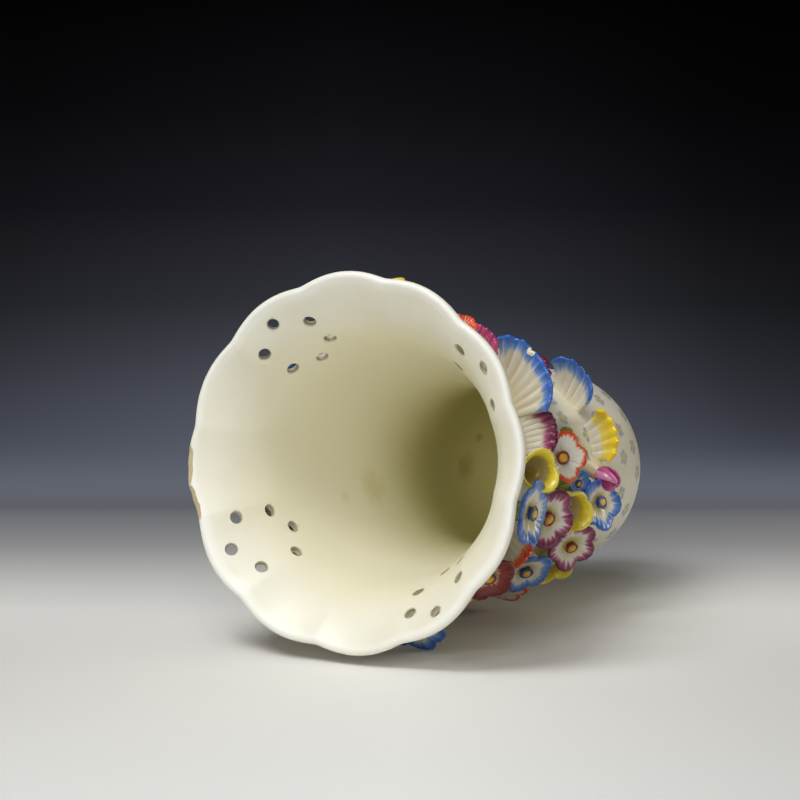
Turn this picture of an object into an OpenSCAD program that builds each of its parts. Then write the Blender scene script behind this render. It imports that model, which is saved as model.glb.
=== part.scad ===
// Potpourri vase: a trumpet neck with a lobed, pierced mouth on a globular body,
// its neck and shoulder covered with fluted frill petals and modelled flowers.
// Frame: origin at the centre of the foot's underside, +Z up through the mouth.
// Azimuths are measured from the front (-Y), anticlockwise seen from above.

/* [Vase] */
// Overall height, foot to lip
height = 204; // [198:1:214]
// Outer radius of the mouth at the crown of its lobes
mouth_r = 70; // [69:0.5:74]
// Wall thickness of the neck, body and mouth
wall = 3.4; // [2.8:0.1:4]
// Outer radius that the neck has where the flare sets out
throat_r = 47; // [45:0.5:49]
// Length in which the flare dies away below the lip
flare_len = 14; // [12:0.5:16]
// Outer radius of the waist
waist_r = 35; // [33:0.5:36]
// Height of the waist
waist_z = 97; // [92:1:102]
// Outer radius of the globular body
bulb_r = 42; // [40:0.5:44]
// Height at which the body is widest
bulb_z = 34; // [32:1:36]
// Depth below the widest place at which the belly curve would close
belly_drop = 38; // [36:0.5:42]
// Thickness of the body's floor
floor_t = 4; // [3:0.5:6]

/* [Foot ring] */
// Outer radius of the foot ring
foot_r = 29.5; // [28:0.5:30.5]
// Height of the foot ring
foot_h = 5; // [4:0.5:6]
// Width of the foot ring
foot_w = 5; // [4:0.5:8]
// Rounding of the foot ring's outer edge
foot_round = 1.2; // [0.6:0.1:1.6]

/* [Mouth] */
// Height of the lobed mouth, lip to joint
mouth_h = 32; // [30:1:34]
// Lobes round the mouth
lobes = 12; // [12:2:16]
// Depth of the notches between the lobes
notch = 2; // [1:0.1:3]
// Groups of vents round the mouth
vent_groups = 4; // [2:1:4]
// Vents in a group
vent_count = 6; // [5:1:7]
// Diameter of a vent
vent_d = 3.9; // [3:0.1:4.5]
// Radius of the ring of vents in a group
vent_ring = 12.5; // [11:0.5:13]
// Depth of a group's centre below the lip
vent_depth = 16.2; // [15:0.2:17]
// Azimuth of the first group
vent_az = 30; // [0:30:60]

/* [Frill petals] */
// Drop from the joint of the mouth to the roots of the upper frill
upper_drop = 30; // [28:0.5:32]
// Rise from the widest place of the body to the roots of the lower frill
lower_rise = 31; // [29:0.5:33]
// Outer radius of the upper frill
upper_r = 65; // [62:0.5:66]
// Outer radius of the lower frill
lower_r = 57; // [54:0.5:58]
// Rise of a petal from its root to its edge
petal_rise = 14; // [11:0.5:15]
// Half-angle of a petal at its edge
petal_angle = 13.6; // [12:0.2:13.8]
// Lift and drop by which neighbouring petals clear each other
petal_lift = 3.5; // [3:0.1:4]
// Depth of the scallops along a petal's edge
petal_scallop = 0.7; // [0:0.1:1]
// Half-width of a petal at its root
petal_root = 6; // [4.5:0.5:7]
// Places for petals round each frill
frill_count = 14; // [13:1:14]
// Thickness of a petal
petal_t = 2; // [1.6:0.1:2.4]
// Flutes across a petal
petal_flutes = 7; // [5:1:9]
// Height of a flute at the edge
flute_h = 1.1; // [0.5:0.1:1.4]
// Azimuth of the first petal of both frills
frill_az = 9; // [8:0.5:10]

/* [Flowers] */
// Diameter of an open flower
primrose_d = 24; // [19:0.5:24.5]
// Diameter of a small flower
floret_d = 16; // [13:0.5:16.5]
// Diameter of a cup
cup_d = 17; // [14:0.5:17.5]
// Diameter of a bud
bud_d = 10.5; // [8:0.5:11]
// Thickness of a petal edge
leaf_t = 1.8; // [1.4:0.1:2.2]
// Hollow of an open flower
dish = 2.6; // [1.5:0.1:3]
// Diameter of a stalk under its flower
stalk_d = 7; // [5:0.5:8]
// Diameter of a stalk's pad on the wall
pad_d = 12; // [9:0.5:13]
// Diameter of a rolled stamen
stamen_d = 4.4; // [3.6:0.1:5]
// Length of a rolled stamen
stamen_h = 5; // [4:0.5:6]
// Length of the stalks
stalk_len = 10.5; // [9.5:0.5:11.5]
// Drop from the joint of the mouth to the roots of the top row
top_drop = 11; // [10:0.5:12]
// Drop from the roots of the upper frill to those of the neck row
neck_drop = 21; // [20:0.5:22]
// Rise from the roots of the lower frill to those of the shoulder row
shoulder_rise = 17; // [16:0.5:18]
// Distance inside the lip's overhang at which the flowers that peep over it end
lip_tuck = 17; // [16:0.5:18]

/* [Hidden] */
$fn = 48;
eps = 0.01;
ivory = [0.94, 0.92, 0.85];

lip_z = height - wall / 2;
lip_r = mouth_r - wall / 2;
joint_z = lip_z - mouth_h;
floor_z = foot_h + floor_t;
belly_exponent = 2.4;
flare_exponent = 1.5;
// Length of planted wall at which the rows and flowers have their full size, and the
// share of it that the wall between body and mouth leaves them
waist_gap_ratio = 1.54;
full_band = upper_drop + neck_drop + shoulder_rise + lower_rise + waist_gap_ratio * primrose_d;
fit = min(1, (joint_z - bulb_z) / full_band);
upper_z = joint_z - fit * upper_drop;
lower_z = bulb_z + fit * lower_rise;
top_z = joint_z - fit * top_drop;
neck_z = upper_z - fit * neck_drop;
shoulder_z = lower_z + fit * shoulder_rise;
waist_row_z = (neck_z + shoulder_z) / 2;

// Smooth step that falls from 1 at x = 0 to 0 at x = 1
function fall(x) = (1 + cos(180 * min(1, max(0, x)))) / 2;
function ease(x) = pow(min(1, max(0, x)), flare_exponent);

// Middle of the neck's wall at height z, and its slope dr/dz
function neck_r(z) =
    waist_r - wall / 2
    + (throat_r - waist_r) * fall(ease((lip_z - z) / (lip_z - waist_z)))
    + (lip_r + wall / 2 - throat_r) * exp((z - lip_z) / flare_len);
function neck_slope(z) = (neck_r(z + 0.1) - neck_r(z - 0.1)) / 0.2;
function half_skin(z) = wall / 2 * sqrt(1 + pow(neck_slope(z), 2));

// Superellipse of the belly, closing at the given depth below the widest place
function belly(z, r, drop) =
    r * pow(1 - pow((bulb_z - z) / drop, belly_exponent), 1 / belly_exponent);
function shoulder_mix(z) = fall((z - bulb_z) / (waist_z - bulb_z));

// Outer and inner radius of the body at height z
function body_out(z) =
    z >= waist_z ? neck_r(z) + half_skin(z)
    : z >= bulb_z ? waist_r + (bulb_r - waist_r) * shoulder_mix(z)
    : belly(z, bulb_r, belly_drop);
function body_in(z) =
    z >= waist_z ? neck_r(z) - half_skin(z)
    : z >= bulb_z ? body_out(z) - wall
    : belly(z, bulb_r - wall, belly_drop - wall);

function steps(from, to, n) = [for (i = [0 : n]) from + (to - from) * i / n];
belly_steps = 7;
shoulder_steps = 8;
neck_steps = 10;
outer_z = concat(
    steps(foot_h, bulb_z, belly_steps),
    [for (z = steps(bulb_z, waist_z, shoulder_steps)) if (z > bulb_z) z],
    [for (z = steps(waist_z, joint_z, neck_steps)) if (z > waist_z) z]);
inner_z = [for (z = outer_z) if (z > floor_z + wall / 3) z];

outer_line = [for (z = outer_z) [body_out(z), z]];
inner_line = concat(
    [[0, floor_z], [body_in(floor_z), floor_z]],
    [for (z = inner_z) [body_in(z), z]]);

module body() {
    color(ivory)
        rotate_extrude()
            polygon(concat(
                [[0, foot_h]],
                outer_line,
                [for (i = [len(inner_line) - 1 : -1 : 0]) inner_line[i]]));
}

// The body without its hollow, which the petals and stalks are cut to
module body_core() {
    rotate_extrude()
        polygon(concat([[0, foot_h]], outer_line, [[0, joint_z]]));
}

module foot_ring() {
    inside = foot_r - foot_w;
    color(ivory)
        rotate_extrude()
            polygon(concat(
                [[inside, 0]],
                [for (a = [-90 : 15 : 0])
                    [foot_r - foot_round + foot_round * cos(a), foot_round + foot_round * sin(a)]],
                [[foot_r - foot_round, foot_h], [inside + foot_round, foot_h]]));
}

mouth_rings = 8;
lip_steps = 5;
lobe_segments = 8;
mouth_segments = lobes * lobe_segments;

// Normal of the mouth's wall, out and down, and the direction along it to the lip
function wall_normal(z) = [1, -neck_slope(z)] / sqrt(1 + pow(neck_slope(z), 2));
function wall_along(z) = [neck_slope(z), 1] / sqrt(1 + pow(neck_slope(z), 2));
function ring_z(i) = lip_z - mouth_h * pow(i / mouth_rings, flare_exponent);
function wall_point(i, side) =
    i == mouth_rings
    ? [neck_r(joint_z) + side * half_skin(joint_z), joint_z]
    : [neck_r(ring_z(i)), ring_z(i)] + side * wall / 2 * wall_normal(ring_z(i));
function lip_point(b) =
    [lip_r, lip_z] - wall / 2 * (cos(b) * wall_normal(lip_z) - sin(b) * wall_along(lip_z));

// Radius, height and depth below the lip of each ring of the mouth, inside to outside
mouth_line = concat(
    [for (i = [mouth_rings : -1 : 0]) concat(wall_point(i, -1), lip_z - ring_z(i))],
    [for (i = [1 : lip_steps]) concat(lip_point(180 * i / (lip_steps + 1)), 0)],
    [for (i = [0 : mouth_rings]) concat(wall_point(i, 1), lip_z - ring_z(i))]);

// The lobes are deepest at the lip and die away at the joint
function lobed(r, depth, a) =
    r - notch * (1 - abs(cos(a * lobes / 2))) * pow(max(0, 1 - depth / mouth_h), flare_exponent);

module lobed_shell() {
    n = mouth_segments;
    rings = len(mouth_line);
    points = [for (p = mouth_line) for (k = [0 : n - 1])
        let (a = 360 * k / n, r = lobed(p[0], p[2], a)) [r * cos(a), r * sin(a), p[1]]];
    faces = [for (j = [0 : rings - 1]) for (k = [0 : n - 1])
        let (j2 = (j + 1) % rings, k2 = (k + 1) % n)
        each [[j * n + k, j2 * n + k2, j2 * n + k], [j * n + k, j * n + k2, j2 * n + k2]]];
    polyhedron(points, faces);
}

module vent(az, along, across) {
    z = lip_z - vent_depth - along / norm([1, neck_slope(lip_z - vent_depth)]);
    rotate([0, 0, az + across / neck_r(z) * 180 / PI])
        translate([neck_r(z), 0, z])
            rotate([0, 90 + atan(neck_slope(z)), 0])
                cylinder(d = vent_d, h = 5 * wall, center = true);
}

module pierced_mouth() {
    color(ivory)
        difference() {
            lobed_shell();
            for (g = [0 : vent_groups - 1])
                for (k = [0 : vent_count - 1])
                    vent(
                        vent_az + 360 / vent_groups * g,
                        vent_ring * cos(360 * k / vent_count),
                        vent_ring * sin(360 * k / vent_count));
        }
}

// Frill petals

petal_rows = 5;
petal_bite = wall / 2.3;
petal_round_ratio = 0.2;
petal_curl_exponent = 1.4;
petal_widen_exponent = 0.7;

// Point across (u from -1 to 1) and along (v from 0 to 1) a petal of the given size
// that rises by the given height
function petal_point(root_z, edge_r, size, rise, u, v, below) =
    let (
        root_r = body_out(root_z) - petal_bite,
        root_a = petal_root / root_r * 180 / PI,
        flute = cos(180 * petal_flutes * u),
        reach = size * (edge_r - root_r) * (1 - petal_round_ratio * pow(abs(u), 3) * v),
        r = root_r + reach * v - petal_scallop * v * (1 - flute) / 2,
        a = u * (root_a + (size * petal_angle - root_a) * pow(v, petal_widen_exponent)),
        z = root_z + size * rise * pow(v, petal_curl_exponent) + fit * flute_h * v * flute)
    [r * cos(a), r * sin(a), z - below * petal_t];

module petal(root_z, edge_r, size, rise) {
    nu = 2 * petal_flutes;
    nv = petal_rows;
    side = (nu + 1) * (nv + 1);
    points = [for (below = [0, 1]) for (j = [0 : nv]) for (i = [0 : nu])
        petal_point(root_z, edge_r, size, rise, 2 * i / nu - 1, j / nv, below)];
    function at(i, j, below) = below * side + j * (nu + 1) + i;
    skins = [for (j = [0 : nv - 1]) for (i = [0 : nu - 1]) each [
        [at(i, j, 0), at(i + 1, j + 1, 0), at(i, j + 1, 0)],
        [at(i, j, 0), at(i + 1, j, 0), at(i + 1, j + 1, 0)],
        [at(i, j, 1), at(i, j + 1, 1), at(i + 1, j + 1, 1)],
        [at(i, j, 1), at(i + 1, j + 1, 1), at(i + 1, j, 1)]]];
    ends = [for (i = [0 : nu - 1]) each [
        [at(i, 0, 0), at(i + 1, 0, 1), at(i + 1, 0, 0)],
        [at(i, 0, 0), at(i, 0, 1), at(i + 1, 0, 1)],
        [at(i, nv, 0), at(i + 1, nv, 0), at(i + 1, nv, 1)],
        [at(i, nv, 0), at(i + 1, nv, 1), at(i, nv, 1)]]];
    sides = [for (j = [0 : nv - 1]) each [
        [at(0, j, 0), at(0, j + 1, 0), at(0, j + 1, 1)],
        [at(0, j, 0), at(0, j + 1, 1), at(0, j, 1)],
        [at(nu, j, 0), at(nu, j + 1, 1), at(nu, j + 1, 0)],
        [at(nu, j, 0), at(nu, j, 1), at(nu, j + 1, 1)]]];
    polyhedron(points, concat(skins, ends, sides));
}

module frill_petal(root_z, edge_r, spot) {
    color(spot[1])
        difference() {
            rotate([0, 0, frill_az + 360 / frill_count * spot[0] + spot[3] - 90])
                petal(root_z, edge_r, spot[2], fit * (petal_rise + petal_lift * spot[4]));
            body_core();
        }
}

// Flowers, drawn along +Z from the point where the stalk meets the wall

module stalk(len) {
    cylinder(d1 = pad_d, d2 = stalk_d, h = len);
    translate([0, 0, -pad_d / 2])
        cylinder(d = pad_d, h = pad_d / 2);
}

module corolla(d, petals) {
    lobe_r = 0.29 * d;
    intersection() {
        rotate_extrude()
            polygon([
                [0, 0], [0.2 * d, 0.15 * dish], [0.38 * d, 0.6 * dish], [0.55 * d, 1.3 * dish],
                [0.55 * d, 1.3 * dish + leaf_t], [0.38 * d, 0.6 * dish + leaf_t],
                [0.2 * d, 0.15 * dish + leaf_t], [0, leaf_t]]);
        linear_extrude(height = 2 * dish + leaf_t) {
            circle(r = 0.3 * d);
            for (k = [0 : petals - 1])
                rotate([0, 0, 360 / petals * k])
                    translate([d / 2 - lobe_r, 0])
                        circle(r = lobe_r);
        }
    }
}

module rolled_stamen() {
    difference() {
        cylinder(d = stamen_d, h = stamen_h + leaf_t);
        translate([0, 0, stamen_h])
            cylinder(d = stamen_d / 2, h = leaf_t + eps);
    }
}

module open_flower(d, petals, len) {
    stalk(len + leaf_t / 2);
    translate([0, 0, len]) {
        corolla(d, petals);
        rolled_stamen();
    }
}

module cup(d, len) {
    stalk(len - d / 4);
    translate([0, 0, len - d / 3])
        rotate_extrude()
            polygon([
                [0, 0], [0.28 * d, 0.06 * d], [0.4 * d, 0.3 * d], [0.42 * d, 0.5 * d],
                [0.5 * d, 0.66 * d], [0.5 * d - leaf_t, 0.7 * d], [0.42 * d - leaf_t, 0.5 * d],
                [0.4 * d - leaf_t, 0.34 * d], [0, 0.2 * d]]);
}

module bud(d, len) {
    stalk(len - d / 3);
    translate([0, 0, len - d / 3])
        rotate_extrude()
            polygon([
                [0, -0.1 * d], [0.3 * d, 0], [0.5 * d, 0.35 * d], [0.42 * d, 0.7 * d],
                [0.3 * d, 0.78 * d], [0.2 * d, 0.7 * d], [0, 0.9 * d]]);
}

module flower_form(kind, size, len) {
    if (kind == "primrose") open_flower(size * primrose_d, 5, len);
    if (kind == "floret") open_flower(size * floret_d, 5, len);
    if (kind == "cup") cup(size * cup_d, len);
    if (kind == "bud") bud(size * bud_d, len);
}

module flower(spot) {
    root = spot[4] + fit * spot[5];
    color(spot[2])
        difference() {
            rotate([0, 0, spot[3] - 90])
                translate([body_out(root), 0, root])
                    rotate([0, 90 - spot[6], 0])
                        scale(fit)
                            flower_form(spot[1], spot[8], stalk_len + spot[7]);
            body_core();
        }
}

blue = [0.30, 0.45, 0.75];
puce = [0.62, 0.25, 0.45];
yellow = [0.92, 0.78, 0.22];
orange = [0.85, 0.38, 0.2];
pink = [0.85, 0.5, 0.62];
red = [0.65, 0.16, 0.14];

// Petals of the two frills: place in the ring, colour of the painted edge, size as a
// share of a full petal, turn from its place and lift as a share of petal_lift
upper_petals = [
    [0, puce, 0.72, 2, -3.2], [1, blue, 1.1, -2.5, -0.4], [2, pink, 0.72, -4, -1],
    [3, yellow, 1, 0, 1], [4, blue, 1, 0, -1], [5, puce, 1, 0, 1], [6, orange, 1, 0, -1],
    [7, blue, 1, 0, 1], [8, yellow, 1, 0, -1], [9, puce, 1, 0, 1], [10, blue, 1, 0, -1],
    [11, yellow, 0.7, 0, 1], [12, orange, 0.75, 3, -1]];
lower_petals = [
    [0, yellow, 0.88, 3, -1], [1, blue, 0.95, 8, 1], [3, orange, 0.85, -4, -1],
    [7, blue, 1, 0, 1], [8, yellow, 1, 0, -1], [9, puce, 1, 0, 1]];

// Planting of each row: kind, colour, azimuth, rise above the row's roots, tilt up from
// level, length that the stalk has beyond the usual one, 1 for a flower that peeps over
// the lip, and size as a share of the usual one. Rise and length are shares of an open
// flower.
top_row = [
    ["cup", yellow, -5, -0.375, 36, 0, 0, 1],
    ["primrose", blue, -21.9, 0.125, 4, -0.02, 0, 1.06],
    ["floret", orange, 57, 0.125, 34, -0.08, 1, 0.75],
    ["cup", yellow, 89, 0.083, 28, 0.05, 1, 0.9],
    ["floret", red, 107, 0.125, 30, 0.1, 1, 1],
    ["primrose", blue, 130, 0.083, 32, 0.042, 0, 1],
    ["cup", yellow, 162, 0, 34, 0.083, 0, 1],
    ["primrose", puce, 200, 0.083, 32, 0.042, 0, 1],
    ["primrose", orange, 238, 0.104, 33, 0.042, 0, 1],
    ["primrose", blue, 277, 0.083, 34, 0.27, 0, 1],
    ["primrose", red, 310, 0.02, 33, 0, 0, 0.85]];
neck_row = [
    ["primrose", orange, -1.5, 0.01, 29, 0.208, 0, 0.8],
    ["primrose", puce, -24, 0.21, 22, 0.15, 0, 0.95],
    ["primrose", blue, 303, -0.5, 22, 0.15, 0, 0.9],
    ["primrose", puce, 52, 0, 28, 0.1, 0, 0.9],
    ["primrose", red, 80, 0, 28, 0.042, 0, 1],
    ["primrose", yellow, 112, 0, 28, 0.042, 0, 1],
    ["primrose", yellow, 147, 0, 28, 0.042, 0, 1],
    ["primrose", blue, 184, 0, 28, 0.042, 0, 1],
    ["primrose", puce, 221, 0, 28, 0.042, 0, 1],
    ["primrose", orange, 260, 0, 28, 0.042, 0, 1]];
waist_row = [
    ["cup", yellow, -21.5, 0, 24, 0.125, 0, 1],
    ["floret", blue, -8.2, -0.41, 24, -0.1, 0, 0.75],
    ["primrose", puce, 53, 0, 24, 0, 0, 0.9],
    ["primrose", blue, 91, 0, 24, 0, 0, 1],
    ["primrose", orange, 129, 0, 24, 0, 0, 1],
    ["primrose", puce, 166, 0, 24, 0, 0, 1],
    ["primrose", yellow, 203, 0, 24, 0, 0, 1],
    ["primrose", blue, 241, 0, 24, 0, 0, 1],
    ["primrose", red, 274, 0, 24, 0, 0, 0.9]];
shoulder_row = [
    ["bud", pink, -2.8, -0.25, 16, 0.2, 0, 1],
    ["primrose", blue, -23.2, -0.208, 20, 0.167, 0, 0.93],
    ["primrose", puce, -41, 0.25, 34, 0.24, 0, 0.87],
    ["cup", yellow, 302, -0.083, 20, 0.05, 0, 0.85],
    ["primrose", orange, 272, -0.125, 20, 0.042, 0, 1],
    ["primrose", blue, 98, -0.125, 20, 0.042, 0, 1],
    ["primrose", puce, 128, -0.125, 20, 0.042, 0, 1],
    ["primrose", blue, 158, -0.125, 20, 0.042, 0, 1]];

// Node name, kind, colour, azimuth, row height, rise, tilt, reach and size of every flower
function reach(s) =
    primrose_d * s[5] + (s[6] == 1 ? mouth_r - throat_r - lip_tuck : 0);
function planted(row, row_z, spots) =
    [for (i = [0 : len(spots) - 1])
        let (s = spots[i])
        [str(row, "_", s[0], "_", i + 1), s[0], s[1], s[2], row_z, primrose_d * s[3], s[4], reach(s), s[7]]];
flowers = concat(
    planted("top", top_z, top_row),
    planted("neck", neck_z, neck_row),
    planted("waist", waist_row_z, waist_row),
    planted("shoulder", shoulder_z, shoulder_row));

// Node name, root height, edge radius and planting of every frill petal
function frilled(ring, root_z, edge_r, petals) =
    [for (i = [0 : len(petals) - 1]) [str(ring, "_frill_", i + 1), root_z, edge_r, petals[i]]];
frills = concat(
    frilled("upper", upper_z, upper_r, upper_petals),
    frilled("lower", lower_z, lower_r, lower_petals));

body();
pierced_mouth();
foot_ring();
for (f = frills)
    frill_petal(f[1], f[2], f[3]);
for (f = flowers)
    flower(f);
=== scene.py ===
"""Visual model of a porcelain potpourri vase lying on its side on a studio sweep.

The vase is built upright in the part's own frame: the origin is the middle of the
foot's underside and +Z runs up through the mouth. Azimuths of petals and flowers
are measured from the front (-Y), anticlockwise from above. Sizes are millimetres
until a mesh is made, and metres from there on.
"""

import logging
import math
from dataclasses import dataclass, field, replace
from enum import Enum
from typing import Any, Optional, Sequence

import bmesh
import bpy
import numpy as np
from mathutils import Matrix, Vector
from mathutils.kdtree import KDTree


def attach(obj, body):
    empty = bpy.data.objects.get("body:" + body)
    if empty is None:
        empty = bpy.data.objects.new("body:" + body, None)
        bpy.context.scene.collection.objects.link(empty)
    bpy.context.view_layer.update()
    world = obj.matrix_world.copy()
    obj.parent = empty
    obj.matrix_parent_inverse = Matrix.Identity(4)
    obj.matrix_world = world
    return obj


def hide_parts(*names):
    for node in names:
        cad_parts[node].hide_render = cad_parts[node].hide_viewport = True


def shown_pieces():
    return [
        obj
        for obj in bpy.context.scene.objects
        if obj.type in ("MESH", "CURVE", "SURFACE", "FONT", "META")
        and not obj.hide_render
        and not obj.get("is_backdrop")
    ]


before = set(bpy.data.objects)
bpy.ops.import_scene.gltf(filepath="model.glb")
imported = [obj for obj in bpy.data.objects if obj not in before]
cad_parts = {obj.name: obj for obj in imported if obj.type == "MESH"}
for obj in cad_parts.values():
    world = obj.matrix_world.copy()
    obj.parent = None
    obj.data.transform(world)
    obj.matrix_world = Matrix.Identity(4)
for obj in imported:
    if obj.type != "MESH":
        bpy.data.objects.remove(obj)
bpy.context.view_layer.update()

LOG = logging.getLogger("potpourri_vase")
MM = 0.001
FULL_TURN = 2 * math.pi
BODY = "root"
Pair = tuple[float, float]
Triple = tuple[float, float, float]
Colour = Triple
Array = np.ndarray
Sheet = tuple[Array, Array, Array]
Object, Mesh, Material = bpy.types.Object, bpy.types.Mesh, bpy.types.Material
Node, Socket, Tree = bpy.types.Node, bpy.types.NodeSocket, bpy.types.NodeTree


def paint(*screen: int) -> Colour:
    """Linear colour, as a shader takes it, of a screen colour from 0 to 255."""
    shares = [value / 255.0 for value in screen]
    return tuple(x / 12.92 if x <= 0.04045 else ((x + 0.055) / 1.055) ** 2.4 for x in shares)


class Tint(Enum):
    """Enamel colours of the petals, by the name that the material slots use."""

    BLUE = "blue"
    PUCE = "puce"
    YELLOW = "yellow"
    ORANGE = "orange"
    PINK = "pink"
    RED = "red"

    @property
    def slot(self) -> str:
        """Name of the record's material slot for this enamel."""
        return f"{self.value}_painted"


class Kind(Enum):
    """Forms in which the modelled flowers come."""

    PRIMROSE = "primrose"
    FLORET = "floret"
    CUP = "cup"
    BUD = "bud"


BLUE, PUCE, YELLOW, ORANGE, PINK, RED = Tint
PRIMROSE, FLORET, CUP, BUD = Kind


# Mesh making


@dataclass
class Skin:
    """Quad grids that are gathered, welded along their edges and made one mesh.

    Attributes:
        points: Vertices so far, in millimetres.
        faces: Faces so far, as vertex indices.
        marks: A number at each vertex, which the finishes read as "groove", where they paint shade.
        corners: Texture coordinates of each face's corners.
        finishes: Material index of each face.
        weld: Distance in millimetres under which vertices become one.
    """

    points: list[Array] = field(default_factory=list)
    marks: list[Array] = field(default_factory=list)
    faces: list[tuple[int, ...]] = field(default_factory=list)
    corners: list[Pair] = field(default_factory=list)
    finishes: list[int] = field(default_factory=list)
    weld: float = 0.002

    def grid(self, points: Array, uv: Array, finish: int = 0, turn: bool = False,
             mark: Optional[Array] = None) -> None:
        """Adds a grid of quads.

        Args:
            points: Rows by columns by three, in millimetres.
            uv: Rows by columns by two.
            finish: Material index of its faces.
            turn: True to wind the faces the other way.
            mark: The number at each point, or None for zero.
        """
        rows, columns = points.shape[:2]
        start = sum(len(block) for block in self.points)
        self.points.append(points.reshape(-1, 3))
        self.marks.append(np.zeros(rows * columns) if mark is None else mark.ravel())
        flat = uv.reshape(-1, 2)
        for row in range(rows - 1):
            for column in range(columns - 1):
                a = row * columns + column
                loop = (a, a + 1, a + columns + 1, a + columns)
                loop = loop[::-1] if turn else loop
                self.faces.append(tuple(start + k for k in loop))
                self.corners.extend((float(flat[k, 0]), float(flat[k, 1])) for k in loop)
                self.finishes.append(finish)

    def shell(self, middle: Array, half: Array, uv: Array,
              mark: Optional[Array] = None) -> None:
        """Adds both faces of a thin sheet whose thickness runs out at its edges.

        Args:
            middle: Middle surface, rows by columns by three.
            half: Half of the thickness at each point.
            uv: Texture coordinates at each point.
            mark: The number at each point, or None for zero.
        """
        rise = sheet_normals(middle) * half[..., None]
        self.grid(middle + rise, uv, mark=mark)
        self.grid(middle - rise, uv, turn=True, mark=mark)

    def piece(self, name: str, materials: Sequence[Material]) -> Object:
        """Makes the object, with welded seams, outward faces and smooth shading.

        Args:
            name: Name of the object.
            materials: Materials in the order of the material indices.

        Returns:
            The new object, which sits at the origin.
        """
        mesh = bpy.data.meshes.new(name)
        co = np.concatenate(self.points) * MM
        mesh.from_pydata(co.tolist(), [], self.faces)
        layer = mesh.uv_layers.new(name="UVMap")
        layer.data.foreach_set("uv", np.asarray(self.corners, dtype=np.float32).ravel())
        mesh.polygons.foreach_set("material_index", self.finishes)
        mark_points(mesh, "groove", np.concatenate(self.marks))
        work = bmesh.new()
        work.from_mesh(mesh)
        bmesh.ops.remove_doubles(work, verts=work.verts, dist=self.weld * MM)
        bmesh.ops.dissolve_degenerate(work, edges=work.edges, dist=1e-8)
        bmesh.ops.recalc_face_normals(work, faces=work.faces)
        work.to_mesh(mesh)
        work.free()
        mesh.shade_smooth()
        for material in materials:
            mesh.materials.append(material)
        return stand_object(name, mesh)


def stand_object(name: str, data: Any) -> Object:
    """New object in the scene.

    Args:
        name: Name of the object.
        data: Its mesh, camera or lamp.

    Returns:
        The object.
    """
    made = bpy.data.objects.new(name, data)
    bpy.context.scene.collection.objects.link(made)
    return made


def mark_points(mesh: Mesh, name: str, values: Array) -> None:
    """Stores a number on every vertex of a mesh."""
    attribute = mesh.attributes.new(name, "FLOAT", "POINT")
    attribute.data.foreach_set("value", np.asarray(values, dtype=np.float32))


def mesh_points(mesh: Mesh) -> Array:
    """Vertices of a mesh.

    Args:
        mesh: The mesh.

    Returns:
        Their places, in millimetres.
    """
    flat = np.empty(len(mesh.vertices) * 3, dtype=np.float32)
    mesh.vertices.foreach_get("co", flat)
    return flat.reshape(-1, 3).astype(float) / MM


def sheet_normals(points: Array) -> Array:
    """Unit normals of a grid, which stay defined where a row shrinks to a point.

    Args:
        points: Rows by columns by three.

    Returns:
        Normals of the same shape.
    """
    along = np.gradient(points, axis=0)
    across = np.gradient(points, axis=1)
    normal = np.cross(across, along)
    length = np.linalg.norm(normal, axis=2, keepdims=True)
    flat = normal[1:2].mean(axis=1, keepdims=True)
    flat /= np.linalg.norm(flat) + 1e-12
    return np.where(length > 1e-9, normal / np.maximum(length, 1e-9), flat)


def rounded_half(gap: Array, thickness: float) -> Array:
    """Half thickness of a sheet with a round edge.

    Args:
        gap: Distance from the edge, in millimetres.
        thickness: Full thickness away from the edge.

    Returns:
        Half thickness, zero at the edge.
    """
    half = thickness / 2
    inset = np.clip(1 - gap / (1.6 * half), 0, 1)
    return half * np.sqrt(np.maximum(0, 1 - inset ** 2))


def smooth(value: Any, low: float, high: float) -> Any:
    """Smooth step from 0 at low to 1 at high."""
    share = np.clip((value - low) / (high - low), 0, 1)
    return share * share * (3 - 2 * share)


def ripple(angle: Array, rng: np.random.Generator, counts: Sequence[int]) -> Array:
    """Sum of a few random waves round a circle.

    Args:
        angle: Angles in radians.
        rng: Source of the phases and strengths.
        counts: Numbers of waves round the circle.

    Returns:
        The sum at each angle, about -1 to 1.
    """
    total = np.zeros_like(angle)
    for count in counts:
        total += rng.uniform(0.4, 1.0) * np.cos(count * angle + rng.uniform(0, FULL_TURN))
    return total / max(1, len(counts))


def waves(angle: Array, terms: Sequence[Triple]) -> Array:
    """Sum of sine waves, each given by its strength, number and phase."""
    return sum(strength * np.sin(count * angle + phase) for strength, count, phase in terms)


def circle(steps: int) -> Array:
    """Angles of one turn about the axis, as a row."""
    return np.linspace(0, FULL_TURN, steps + 1)[None, :]


def polar(radius: Array, angle: Array, height: Any) -> Array:
    """Grid of points from their radii, angles about the axis and heights."""
    spots = (radius * np.cos(angle), radius * np.sin(angle), height)
    return np.stack(np.broadcast_arrays(*spots), axis=2)


def chart(across: Any, along: Any) -> Array:
    """Grid of texture coordinates."""
    return np.stack(np.broadcast_arrays(across, along), axis=2)


def run_length(line: Array) -> Array:
    """Length of an outline up to each of its points."""
    return np.concatenate([[0], np.cumsum(np.linalg.norm(np.diff(line, axis=0), axis=1))])


def lathe(line: Array, segments: int) -> tuple[Array, Array]:
    """Grid of a line that is turned about the axis.

    Args:
        line: Radius and height of each ring.
        segments: Steps round the axis.

    Returns:
        The points and the texture coordinates: azimuth, and share of the line's length.
    """
    angle, run = circle(segments), run_length(line)
    points = polar(line[:, :1], angle, line[:, 1:2])
    return points, chart(angle / FULL_TURN, (run / run[-1])[:, None])


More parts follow.
